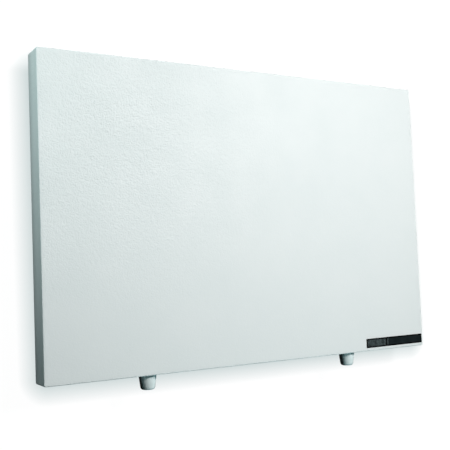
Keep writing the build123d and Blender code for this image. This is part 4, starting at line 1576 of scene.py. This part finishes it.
@dataclass
class FastenerSet:
    """Every fastener that can be seen on the finished heater and its wall frame.

    Attributes:
        cover_screw: The screw of the rear cover.
        cover_per_row: Screws in the cover's upper and lower rows.
        lip: Width of the casing's lip, by which the corner screws stand in from the side screws.
        lid_shank: Shank radius of the lid's screws.
        lid_head: Head radius of the lid's screws.
        foot_screw: The screw in each foot.
        rivet: The rivet of the tie bars.
        rivet_pitch: Distance between the two rivets at a tie bar's end.
        turn_step: How much each recess is turned past its neighbour's.
    """

    cover_screw: PanScrew = PanScrew(1.45 * MM, 3.0 * MM, 1.8 * MM, 6.0 * MM)
    cover_per_row: int = 4
    lip: float = FrontCasing.lip
    lid_shank: float = 1.4 * MM
    lid_head: float = 2.7 * MM
    foot_screw: PanScrew = PanScrew(2.0 * MM, 3.8 * MM, 2.2 * MM, 18.0 * MM)
    rivet: BlindRivet = BlindRivet()
    rivet_pitch: float = 10.0 * MM
    turn_step: float = 0.7

    @property
    def cover_face(self) -> float:
        """Height of the rear cover's outer face above the wall."""
        return FlatBox.of("rear_cover").high.z - COVER_SHEET

    def cover_screws(self) -> Fasteners:
        """Screws of the rear cover: a row above and below, and one each side.

        Returns:
            The screws.
        """
        head = self.cover_screw.head_radius
        half = FlatBox.of("rear_cover_screws").size / 2 - Vector((head, head, 0))
        columns = [(half.x - self.lip) * (2 * i / (self.cover_per_row - 1) - 1)
                   for i in range(self.cover_per_row)]
        spots = [(x, sy * half.y) for sy in (-1, 1) for x in columns] + [(-half.x, 0.0), (half.x, 0.0)]
        places = tuple(at(x, y, self.cover_face, i * self.turn_step) for i, (x, y) in enumerate(spots))
        return Fasteners("zinc_cover_screws", "rear_cover_screws", self.cover_screw, places)

    def lid_screws(self) -> Fasteners:
        """Screws of the terminal box's lid.

        Returns:
            The screws.
        """
        box, seat = FlatBox.of("lid_screws"), FlatBox.of("terminal_box_lid").low.z
        places = tuple(at(x, y, seat, i * self.turn_step)
                       for i, (x, y) in enumerate(four_corners(box, self.lid_head)))
        screw = PanScrew(self.lid_shank, self.lid_head, seat - box.low.z, box.high.z - seat)
        return Fasteners("zinc_lid_screws", "lid_screws", screw, places)

    def foot_screws(self) -> Fasteners:
        """Screws that hold the feet, driven from below.

        Returns:
            The screws.
        """
        box, screw = FlatBox.of("foot_screws"), self.foot_screw
        half = box.size.x / 2 - screw.head_radius
        upright = Matrix.Rotation(-math.pi / 2, 4, "X")
        places = tuple(
            Matrix.Translation((side * half, box.low.y + screw.head_height, box.middle.z)) @ upright
            for side in (-1, 1))
        return Fasteners("zinc_foot_screws", "foot_screws", screw, places)

    def hanging_studs(self) -> Fasteners:
        """Studs that hang the heater on its rails.

        Returns:
            The studs.
        """
        box = FlatBox.of("hanging_studs")
        stud = HangingStud(self.cover_face - box.low.z, box.high.z - self.cover_face)
        places = tuple(at(x, y, self.cover_face, i * self.turn_step)
                       for i, (x, y) in enumerate(four_corners(box, stud.collar_radius)))
        return Fasteners("shouldered_hanging_studs", "hanging_studs", stud, places)

    def tie_rivets(self) -> Fasteners:
        """Rivets that join the tie bars to the rails.

        Returns:
            The rivets.
        """
        box, seat = FlatBox.of("tie_rivets"), FlatBox.of("tie_bar_top").high.z
        places = tuple(at(x, y - math.copysign(step * self.rivet_pitch, y), seat)
                       for x, y in four_corners(box, self.rivet.head_radius) for step in (0, 1))
        return Fasteners("blind_tie_rivets", "tie_rivets", self.rivet, places, WALL_FRAME, "frame_rivet")

    def build(self) -> None:
        """Makes them all."""
        for group in (self.cover_screws(), self.lid_screws(), self.foot_screws(), self.hanging_studs(),
                      self.tie_rivets()):
            group.build()


# ---------------------------------------------------------------- back of the heater


@dataclass
class RearCover:
    """Thin cover with long beads pressed outwards and an opening for the leads.

    Attributes:
        sheet: Thickness of the sheet.
        corner: Radius of the cover's corners.
        corner_steps: Facets round each corner.
        weld: Distance below which neighbouring corner points become one.
        opening: Width and height of the opening.
        opening_corner: Radius of its corners.
        opening_shift: How far its middle is to the left of the terminal box's.
        bead: Length and width of a bead.
        margin: Width of the flat ring round a bead.
        bead_steps: Facets across a bead's flank.
        flank: Width of a bead's flank.
        bead_x: Distance of the beads' middles from the cover's middle.
        bead_y: Height of the middle row above the cover's middle.
        bead_pitch: Distance between rows.
        box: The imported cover's box.
    """

    sheet: float = COVER_SHEET
    corner: float = 6.0 * MM
    corner_steps: int = 8
    weld: float = 0.05 * MM
    opening: tuple[float, float] = (42.0 * MM, 42.0 * MM)
    opening_corner: float = 5.0 * MM
    opening_shift: float = 26.0 * MM
    bead: tuple[float, float] = (150.0 * MM, 10.0 * MM)
    margin: float = 1.0 * MM
    bead_steps: int = 8
    flank: float = 3.4 * MM
    bead_x: float = 95.0 * MM
    bead_y: float = 48.0 * MM
    bead_pitch: float = 64.0 * MM
    box: FlatBox = field(default_factory=lambda: FlatBox.of("rear_cover"))

    def loop(self, bm: bmesh.types.BMesh, size: tuple[float, float], corner: float, x: float,
             y: float) -> list[bmesh.types.BMEdge]:
        """Adds a rounded rectangle of edges at the cover's outer face.

        Args:
            bm: The mesh.
            size: Width and height.
            corner: Radius of its corners.
            x: Its middle, across.
            y: Its middle, up.

        Returns:
            The edges.
        """
        before = set(bm.verts)
        rectangle(bm, Matrix.Translation((x, y, self.box.high.z - self.sheet)), *size)
        corners = [vert for vert in bm.verts if vert not in before]
        round_off(bm, corners, corner, self.corner_steps, "VERTICES")
        made = [vert for vert in bm.verts if vert not in before]
        bmesh.ops.remove_doubles(bm, verts=made, dist=self.weld)
        edges = [edge for edge in bm.edges if edge.verts[0] not in before]
        bmesh.ops.delete(bm, geom=faces_of(edge.verts[0] for edge in edges), context="FACES_ONLY")
        return edges

    def press(self, bm: bmesh.types.BMesh, bead: bmesh.types.BMFace) -> None:
        """Presses a bead out towards the wall in a smooth wave.

        Args:
            bm: The mesh.
            bead: The flat face within the bead's outline.
        """
        bmesh.ops.inset_region(bm, faces=[bead], thickness=self.margin, use_even_offset=True)
        height = self.box.high.z - self.sheet - self.box.low.z
        levels = [height * (1 - math.cos(math.pi * i / self.bead_steps)) / 2
                  for i in range(self.bead_steps + 1)]
        for before, after in zip(levels, levels[1:]):
            bmesh.ops.inset_region(bm, faces=[bead], thickness=self.flank / self.bead_steps,
                                   depth=after - before, use_even_offset=True)

    def outer_face(self, bm: bmesh.types.BMesh) -> list[bmesh.types.BMFace]:
        """Adds the cover's flat outer face, open at the leads, with each bead's outline filled.

        Args:
            bm: An empty mesh.

        Returns:
            The faces within the beads' outlines.
        """
        terminal = FlatBox.of("terminal_box").middle
        outline = self.loop(bm, tuple(self.box.size.xy), self.corner, 0.0, 0.0)
        opening_x = terminal.x - self.opening_shift
        outline += self.loop(bm, self.opening, self.opening_corner, opening_x, terminal.y)
        room = (self.bead[0] + 2 * self.margin, self.bead[1] + 2 * self.margin)
        beads = [self.loop(bm, room, room[1] / 2, sx * self.bead_x, self.bead_y + row * self.bead_pitch)
                 for sx in (-1, 1) for row in (-1, 0, 1)]
        every = outline + [edge for bead in beads for edge in bead]
        bmesh.ops.triangle_fill(bm, use_beauty=True, use_dissolve=False, edges=every, normal=(0, 0, -1))
        faces = [bmesh.ops.edgeloop_fill(bm, edges=bead)["faces"][0] for bead in beads]
        bmesh.ops.recalc_face_normals(bm, faces=bm.faces)
        if faces[0].normal.z > 0:
            bmesh.ops.reverse_faces(bm, faces=bm.faces)
        return faces

    def build(self) -> None:
        """Makes the cover."""
        bm = bmesh.new()
        for bead in self.outer_face(bm):
            self.press(bm, bead)
        inner = bmesh.ops.extrude_face_region(bm, geom=bm.faces[:])["geom"]
        bmesh.ops.translate(bm, vec=(0, 0, self.sheet), verts=verts_in(inner))
        bmesh.ops.recalc_face_normals(bm, faces=bm.faces)
        Piece("beaded_rear_cover", HEATER, "zinc_sheet", ("rear_cover",), smooth_below=0.7).finish(bm)


@dataclass
class BoxLid:
    """Moulded lid with a rolled edge, a sunk field outside and a rib that drops into the box.

    Attributes:
        corner: Radius of the lid's corners.
        corner_steps: Facets round each corner.
        plate: Thickness of the lid.
        edge: Radius of its outer edge.
        edge_steps: Facets across that edge.
        rib_inset: Distance from the lid's sides to the rib.
        rib: Thickness of the rib.
        rib_height: Height of the rib.
        nut_room: Width of the gap in the rib round the gland's nut.
        field_margin: Distance from the lid's sides to the field.
        field_depth: Depth of the field.
        box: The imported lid's box.
    """

    corner: float = 4.0 * MM
    corner_steps: int = 8
    plate: float = 2.0 * MM
    edge: float = 0.8 * MM
    edge_steps: int = 5
    rib_inset: float = 2.3 * MM
    rib: float = 1.2 * MM
    rib_height: float = 1.4 * MM
    nut_room: float = 17.8 * MM
    field_margin: float = 12.0 * MM
    field_depth: float = 0.4 * MM
    box: FlatBox = field(default_factory=lambda: FlatBox.of("terminal_box_lid"))

    def raise_rib(self, bm: bmesh.types.BMesh, inside: list[bmesh.types.BMFace]) -> None:
        """Raises the rib inside the lid, with a gap where the gland's nut is.

        Args:
            bm: The lid.
            inside: The lid's flat inner side.
        """
        bmesh.ops.inset_region(bm, faces=inside, thickness=self.rib_inset, use_even_offset=True)
        ring = bmesh.ops.inset_region(bm, faces=inside, thickness=self.rib, use_even_offset=True)["faces"]
        nut = FlatBox.of("gland_body").middle.x
        for side in (-1, 1):
            split(bm, ring, Vector((nut + side * self.nut_room / 2, 0, 0)), Vector((1, 0, 0)))
            ring = self.rib_faces(bm, inside[0])
        kept = []
        for face in ring:
            middle = face.calc_center_median()
            if abs(middle.x - nut) > self.nut_room / 2 or middle.y > self.box.middle.y:
                kept.append(face)
        grown = bmesh.ops.extrude_face_region(bm, geom=kept)["geom"]
        bmesh.ops.delete(bm, geom=kept, context="FACES")
        bmesh.ops.translate(bm, vec=(0, 0, self.rib_height), verts=verts_in(grown))

    def rib_faces(self, bm: bmesh.types.BMesh, inside: bmesh.types.BMFace) -> list[bmesh.types.BMFace]:
        """Faces that the rib stands on.

        Args:
            bm: The lid.
            inside: The flat face within the rib.

        Returns:
            The faces of the ring round it.
        """
        half = self.box.size / 2 - Vector((self.rib_inset, self.rib_inset, 0))
        faces = []
        for face in flat_faces(bm, inside.verts[0].co.z):
            out = max(max(abs(v.co.x - self.box.middle.x) - half.x, abs(v.co.y - self.box.middle.y) - half.y)
                      for v in face.verts)
            if face != inside and out < LEVEL_WITHIN:
                faces.append(face)
        return faces

    def build(self) -> None:
        """Makes the lid."""
        bm = bmesh.new()
        high = Vector((self.box.high.x, self.box.high.y, self.box.low.z + self.plate))
        block(bm, self.box.low + Vector((0, 0, self.edge)), high)
        round_off(bm, upright_edges(bm), self.corner, self.corner_steps)
        roll_edge(bm, flat_faces(bm, self.box.low.z + self.edge), self.edge, self.edge_steps)
        panel = cut_panel(bm, self.box, self.box.low.z, self.field_margin)
        bmesh.ops.inset_region(bm, faces=[panel], thickness=self.field_depth, depth=-self.field_depth,
                               use_even_offset=True)
        self.raise_rib(bm, flat_faces(bm, high.z))
        bmesh.ops.recalc_face_normals(bm, faces=bm.faces)
        Piece("moulded_box_lid", HEATER, "moulded_grey", ("terminal_box_lid",)).finish(bm)


NUT_DOME: Profile = (
    (1.0, 0.0), (1.0, 0.08), (0.97, 0.26), (0.91, 0.46), (0.83, 0.66), (0.75, 0.84), (0.68, 0.96),
    (0.62, 1.0),
)


@dataclass
class CableGland:
    """Cable gland below the terminal box: a body with a hexagon and a domed nut on its thread.

    Heights along the gland are measured down from the box's wall.

    Attributes:
        flats: Width of both hexagons across their flats.
        round_over: Radius that the hexagons' corners are turned to.
        chamfer: Height of the chamfer at the hexagons' ends.
        flange: Height of the body's hexagon.
        thread: Radius of the thread.
        bore: Radius of the body's bore.
        inner_length: How far the body reaches into the box.
        outer_length: How far it reaches down.
        seat: Radius of the seat for the seal.
        seat_start: Where that seat starts.
        nut_start: Where the domed nut starts.
        shoulder: Where its dome starts.
        nut_end: Where the domed nut ends.
        mouth: Radius of its mouth.
        flare: How much wider the mouth is at its very end, as a share.
        wall: Thickness of its dome.
        thread_gap: How much wider the nut's bore is than the thread.
        dome_gap: How far its dome stands in from the flats.
        steps: Facets round the gland.
    """

    flats: float = 15.0 * MM
    round_over: float = 8.45 * MM
    chamfer: float = 0.6 * MM
    flange: float = 5.0 * MM
    thread: float = 6.0 * MM
    bore: float = 4.3 * MM
    inner_length: float = 7.5 * MM
    outer_length: float = 13.5 * MM
    seat: float = 4.95 * MM
    seat_start: float = 6.9 * MM
    nut_start: float = 5.3 * MM
    shoulder: float = 13.3 * MM
    nut_end: float = 18.8 * MM
    mouth: float = 4.1 * MM
    flare: float = 0.06
    wall: float = 1.2 * MM
    thread_gap: float = 0.1 * MM
    dome_gap: float = 0.05 * MM
    steps: int = 72

    def hexagon(self, bm: bmesh.types.BMesh) -> None:
        """Cuts a turned shape to its hexagon.

        Args:
            bm: The shape.
        """
        for i in range(6):
            turn = i * math.pi / 3
            normal = Vector((math.sin(turn), math.cos(turn), 0))
            cut = bmesh.ops.bisect_plane(bm, geom=bm.verts[:] + bm.edges[:] + bm.faces[:],
                                         plane_co=normal * self.flats / 2, plane_no=normal, clear_outer=True)
            loop = [part for part in cut["geom_cut"] if isinstance(part, bmesh.types.BMEdge)]
            bmesh.ops.edgeloop_fill(bm, edges=open_edges(loop))
        bmesh.ops.recalc_face_normals(bm, faces=bm.faces)

    def finish(self, bm: bmesh.types.BMesh, name: str, node: str) -> None:
        """Cuts the hexagon and puts a part of the gland in its place.

        Args:
            bm: The part, turned about Z.
            name: Its object's name.
            node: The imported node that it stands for.
        """
        self.hexagon(bm)
        box, entry = FlatBox.of("gland_body"), FlatBox.of("terminal_box").low.y
        place = Matrix.Translation((box.middle.x, entry, box.middle.z)) @ QUARTER_TURN
        bmesh.ops.transform(bm, matrix=place, verts=bm.verts)
        Piece(name, HEATER, "moulded_gland", (node,), smooth_below=0.45).finish(bm)

    def build_body(self) -> None:
        """Makes the body."""
        bm = bmesh.new()
        c, r = self.chamfer, self.round_over
        turned(bm, [
            (self.bore, -self.inner_length), (self.thread - c, -self.inner_length),
            (self.thread, c - self.inner_length), (self.thread, 0.0), (r - c, 0.0), (r, c / 2),
            (r, self.flange - c / 2), (r - c, self.flange), (self.thread, self.flange),
            (self.thread, self.outer_length - c), (self.thread - c, self.outer_length),
            (self.seat, self.outer_length), (self.seat, self.seat_start), (self.bore, self.seat_start),
            (self.bore, -self.inner_length),
        ], self.steps)
        self.finish(bm, "gland_hexagon_body", "gland_body")

    def build_nut(self) -> None:
        """Makes the domed nut."""
        bm = bmesh.new()
        c, r, rise = self.chamfer, self.round_over, self.shoulder
        bore, flat = self.thread + self.thread_gap, self.flats / 2 - self.dome_gap
        # The hexagon ends in two turned steps below the shoulder, where the dome starts.
        hexagon = [
            (bore, self.nut_start), (r - c, self.nut_start), (r, self.nut_start + c / 2),
            (r, rise - 1.6 * c), (r - c / 2, rise - 0.9 * c),
        ]
        inside = [
            ((1 + self.flare) * self.mouth, self.nut_end), (self.mouth, self.nut_end - c / 2),
            (self.mouth, self.nut_end - self.wall), (self.mouth + self.wall, self.nut_end - self.wall),
            (bore, self.outer_length + c), (bore, self.nut_start),
        ]
        turned(bm, hexagon + scaled(NUT_DOME, flat, self.nut_end - rise, rise) + inside, self.steps)
        self.finish(bm, "gland_domed_nut", "gland_dome_nut")

    def build(self) -> None:
        """Makes both parts."""
        self.build_body()
        self.build_nut()


# ---------------------------------------------------------------- carried-over pieces


def dress_carried_nodes() -> None:
    """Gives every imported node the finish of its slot."""
    for part in frame["record"]["subparts"]:
        node = frame["nodes"][part["node"]]
        material = FINISH_BY_SLOT[part["material_slot"]].material()
        if not node.material_slots:
            node.data.materials.append(material)
        for slot in node.material_slots:
            slot.material = material
        LOG.info("%s wears %s", part["node"], material.name)


# ---------------------------------------------------------------- stage, lamps and camera


@dataclass
class Stage:
    """Wall behind the heater and floor well below it, both of which the camera sees nearly white.

    Their own tones are dark, so that the heater's real shadow stays weak. A glow that only the camera sees
    adds the rest, and a little less of it beside the heater paints a soft shadow there.

    Attributes:
        half_width: Half the stage's width.
        height: Height of the wall above the floor.
        floor_level: Height of the floor.
        depth: How far the floor reaches each way from the wall.
        wall_gap: How far the wall stands behind the heater's own back plane.
        wall_tone: Colour of the wall under its glow.
        floor_tone: Colour of the floor under its glow, which throws light back up.
        painted_shadow_glow: What the camera sees added beside the heater, less than further out, which
            paints a soft shadow there.
        far_glow: The same further out, where all is white.
        reach: Where the painted shadow's glow ends and the far glow starts, past the heater's outline.
        painted_shadow_edges: Left, right, bottom and top of the wall's part with the painted shadow, whose
            edge the glow starts from.
        lean: How much that part's left side leans outwards with height.
        bend: Radius of that part's corners.
    """

    half_width: float = 4.0
    height: float = 4.0
    floor_level: float = -0.85
    depth: float = 4.0
    wall_gap: float = 0.5 * MM
    wall_tone: Colour = (0.09, 0.09, 0.09)
    floor_tone: Colour = (0.10, 0.10, 0.10)
    painted_shadow_glow: Colour = (0.60, 0.67, 0.67)
    far_glow: Colour = (0.98, 0.98, 0.98)
    reach: tuple[float, float] = (-0.009, 0.017)
    painted_shadow_edges: tuple[float, float, float, float] = (-0.2965, 0.350, -0.216, 0.201)
    lean: float = 0.012
    bend: float = 0.022

    def outside(self, tree: Tree) -> bpy.types.NodeSocket:
        """Distance from the part with the painted shadow, its sides moved in by the bend, which rounds its
        corners.

        Args:
            tree: The material's tree.

        Returns:
            The distance.
        """
        place = tree.node("ShaderNodeSeparateXYZ", Vector=tree.place()).outputs
        x, z = place["X"], place["Z"]
        left, right, bottom, top = self.painted_shadow_edges
        leaning = tree.math("ADD", x, tree.math("MULTIPLY", z, self.lean))
        beside = tree.math("MAXIMUM", tree.math("SUBTRACT", left, leaning), tree.math("SUBTRACT", x, right))
        above = tree.math("MAXIMUM", tree.math("SUBTRACT", bottom, z), tree.math("SUBTRACT", z, top))
        past = [tree.math("MAXIMUM", tree.math("ADD", side, self.bend), 0.0) for side in (beside, above)]
        corner = tree.fill(tree.add("ShaderNodeCombineXYZ"), *past).outputs[0]
        return tree.fill(tree.add("ShaderNodeVectorMath", operation="LENGTH"), corner).outputs["Value"]

    def unseen_behind(self, tree: Tree, surface: bpy.types.NodeSocket,
                      path: bpy.types.bpy_prop_collection) -> bpy.types.NodeSocket:
        """Makes a surface clear from behind, in mirrors and for the lamps' light.

        Args:
            tree: The material's tree.
            surface: The surface's shader.
            path: The outputs of the material's Light Path node.

        Returns:
            The shader.
        """
        behind = tree.add("ShaderNodeNewGeometry").outputs["Backfacing"]
        unseen = tree.math("MAXIMUM", path["Is Shadow Ray"], path["Is Glossy Ray"])
        clear = tree.add("ShaderNodeBsdfTransparent").outputs[0]
        return tree.mix_shaders(tree.math("MAXIMUM", behind, unseen), surface, clear)

    def material(self, name: str, tone: Colour, one_sided: bool) -> bpy.types.Material:
        """Matt surface that looks white to the camera, keeps the heater's real shadow and has a painted
        shadow in its glow beside the heater.

        Args:
            name: The material's name.
            tone: Its colour.
            one_sided: Whether it is clear from behind and lets lamps through.

        Returns:
            The material.
        """
        material = bpy.data.materials.new(name)
        material.use_nodes = True
        tree = Tree(material.node_tree)
        material.node_tree.nodes.remove(material.node_tree.nodes["Principled BSDF"])
        path = tree.add("ShaderNodeLightPath").outputs
        matt = tree.node("ShaderNodeBsdfDiffuse", Color=tone).outputs[0]
        # Painted shadow: the camera's glow is weaker beside the heater and grows to the far glow further
        # out.
        away = tree.spread(self.outside(tree), *(self.bend + end for end in self.reach))
        glow = tree.node("ShaderNodeEmission", Color=tree.mix(away, self.painted_shadow_glow, self.far_glow),
                         Strength=path["Is Camera Ray"]).outputs[0]
        surface = tree.fill(tree.add("ShaderNodeAddShader"), matt, glow).outputs[0]
        if one_sided:
            surface = self.unseen_behind(tree, surface, path)
        tree.feed(material.node_tree.nodes["Material Output"], Surface=surface)
        return material

    def sheet(self, name: str, place: Matrix, width: float, height: float,
              material: bpy.types.Material) -> None:
        """Adds one flat sheet of the stage.

        Args:
            name: The object's name.
            place: The sheet's centre and the way that it faces.
            width: Its width.
            height: Its height.
            material: Its material.
        """
        bm = bmesh.new()
        rectangle(bm, place, width, height)
        made = made_object(name, bm, [material])

    def build(self) -> None:
        """Makes the wall and the floor."""
        middle = self.floor_level + self.height / 2
        wall = self.material("stage_wall", self.wall_tone, True)
        upright = Matrix.Translation((0, self.wall_gap, middle)) @ QUARTER_TURN
        self.sheet("stage_wall", upright, 2 * self.half_width, self.height, wall)
        level = Matrix.Translation((0, 0, self.floor_level))
        self.sheet("stage_floor", level, 2 * self.half_width, 2 * self.depth,
                   self.material("stage_floor", self.floor_tone, False))
        LOG.info("stage: wall and floor")


class Beam(Enum):
    """Kind of light that a lamp gives."""

    SOFT = "AREA"
    CONE = "SPOT"


@dataclass(frozen=True)
class Lamp:
    """Soft square lamp, or a lamp whose cone fades towards its edge.

    Attributes:
        name: The lamp's name.
        place: Where it stands.
        target: What it points at.
        size: Side of the square, or the cone lamp's radius.
        power: Power in watts.
        colour: Its colour.
        beam: Kind of light.
        cone: Full angle of the cone in degrees.
    """

    name: str
    place: Place
    target: Place
    size: float
    power: float
    colour: Colour = (1.0, 1.0, 1.0)
    beam: Beam = Beam.SOFT
    cone: float = 60.0

    def build(self) -> None:
        """Adds the lamp."""
        data = bpy.data.lights.new(self.name, self.beam.value)
        data.energy = self.power
        data.color = self.colour
        if self.beam is Beam.SOFT:
            data.shape = "SQUARE"
            data.size = self.size
        else:
            data.spot_size = math.radians(self.cone)
            data.spot_blend = 1.0
            data.shadow_soft_size = self.size
        lamp = bpy.data.objects.new(self.name, data)
        lamp.location = self.place
        aim = Vector(self.target) - Vector(self.place)
        lamp.rotation_euler = aim.to_track_quat("-Z", "Y").to_euler()
        bpy.context.scene.collection.objects.link(lamp)
        LOG.info("lamp %s", self.name)


@dataclass
class Studio:
    """Soft key from the upper right, two cone lamps, a lamp for the back and weak cool light all round.

    The cone lamp at the side lights the casing's left side. The other one is weak, and brightens the
    feet and the lower fold from below.

    Attributes:
        air: Colour of the light from all round.
        air_strength: Its strength.
        mirrored: What glossy surfaces mirror.
    """

    air: Colour = (0.02, 0.88, 1.0)
    air_strength: float = 0.06
    mirrored: Colour = (0.45, 0.46, 0.47)

    def lamps(self) -> list[Lamp]:
        """The studio's lamps.

        Returns:
            The lamps.
        """
        return [
            Lamp("key", place=(0.45, -1.14, 0.50), target=(-1.12, 0.0, -1.20), size=0.4, power=19.3,
                 colour=(1.0, 0.968, 0.962)),
            Lamp("side", place=(-0.78, -0.22, 0.40), target=(-0.3, -0.05, 0.15), size=0.08, power=7.6,
                 colour=(0.80, 0.98, 0.965), beam=Beam.CONE, cone=62.0),
            Lamp("lift", place=(0.12, -0.13, -0.80), target=(0.05, -0.06, 0.0), size=0.06, power=5.0,
                 colour=(0.60, 0.95, 1.0), beam=Beam.CONE, cone=100.0),
            Lamp("back", place=(0.4, 2.2, 2.4), target=(0.0, 0.0, 0.0), size=2.4, power=86.0),
        ]

    def build(self) -> None:
        """Makes the world and the lamps. The camera sees plain white, and gloss mirrors a grey."""
        world = bpy.data.worlds.new("studio_air")
        world.use_nodes = True
        bpy.context.scene.world = world
        tree = Tree(world.node_tree)
        path = tree.add("ShaderNodeLightPath").outputs
        soft = tree.feed(world.node_tree.nodes["Background"], Color=self.air, Strength=self.air_strength)
        white = tree.node("ShaderNodeBackground", Color=(1.0, 1.0, 1.0), Strength=1.0)
        mirror = tree.node("ShaderNodeBackground", Color=self.mirrored, Strength=1.0)
        lit = tree.mix_shaders(path["Is Glossy Ray"], soft.outputs[0], mirror.outputs[0])
        seen = tree.mix_shaders(path["Is Camera Ray"], lit, white.outputs[0])
        tree.feed(world.node_tree.nodes["World Output"], Surface=seen)
        for lamp in self.lamps():
            lamp.build()


@dataclass(frozen=True)
class ViewPoint:
    """Camera at the photograph's angle, low on the left of the panel.

    Attributes:
        lens: Focal length in millimetres on the default sensor.
        place: Where the camera stands.
        aim: Direction that it looks in.
        roll: Turn about that direction in degrees.
        nearest: Distance from which it sees.
    """

    lens: float = 60.5
    place: Place = (-0.55478, -0.92974, -0.07591)
    aim: Place = (0.50325, 0.86188, 0.06240)
    roll: float = -2.28
    nearest: float = 0.01

    def build(self) -> None:
        """Adds the camera and makes it the scene's."""
        data = bpy.data.cameras.new("camera")
        data.lens = self.lens
        data.clip_start = self.nearest
        camera = bpy.data.objects.new("camera", data)
        camera.location = self.place
        level = Vector(self.aim).to_track_quat("-Z", "Y").to_matrix().to_4x4()
        turned_by = level @ Matrix.Rotation(math.radians(self.roll), 4, "Z")
        camera.rotation_euler = turned_by.to_euler()
        bpy.context.scene.collection.objects.link(camera)
        bpy.context.scene.camera = camera


def main() -> None:
    """Builds the heater's looks, the stage, the lamps and the camera."""
    logging.basicConfig(level=logging.INFO, format="%(name)s: %(message)s")
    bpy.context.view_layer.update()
    bpy.context.scene.view_settings.view_transform = "Standard"
    dress_carried_nodes()
    FrontCasing().build()
    BareStrip().build()
    for side in (-1, 1):
        Foot(side).build()
    RearCover().build()
    BoxLid().build()
    CableGland().build()
    FastenerSet().build()
    Stage().build()
    Studio().build()
    ViewPoint().build()


if __name__ == "__main__":
    main()
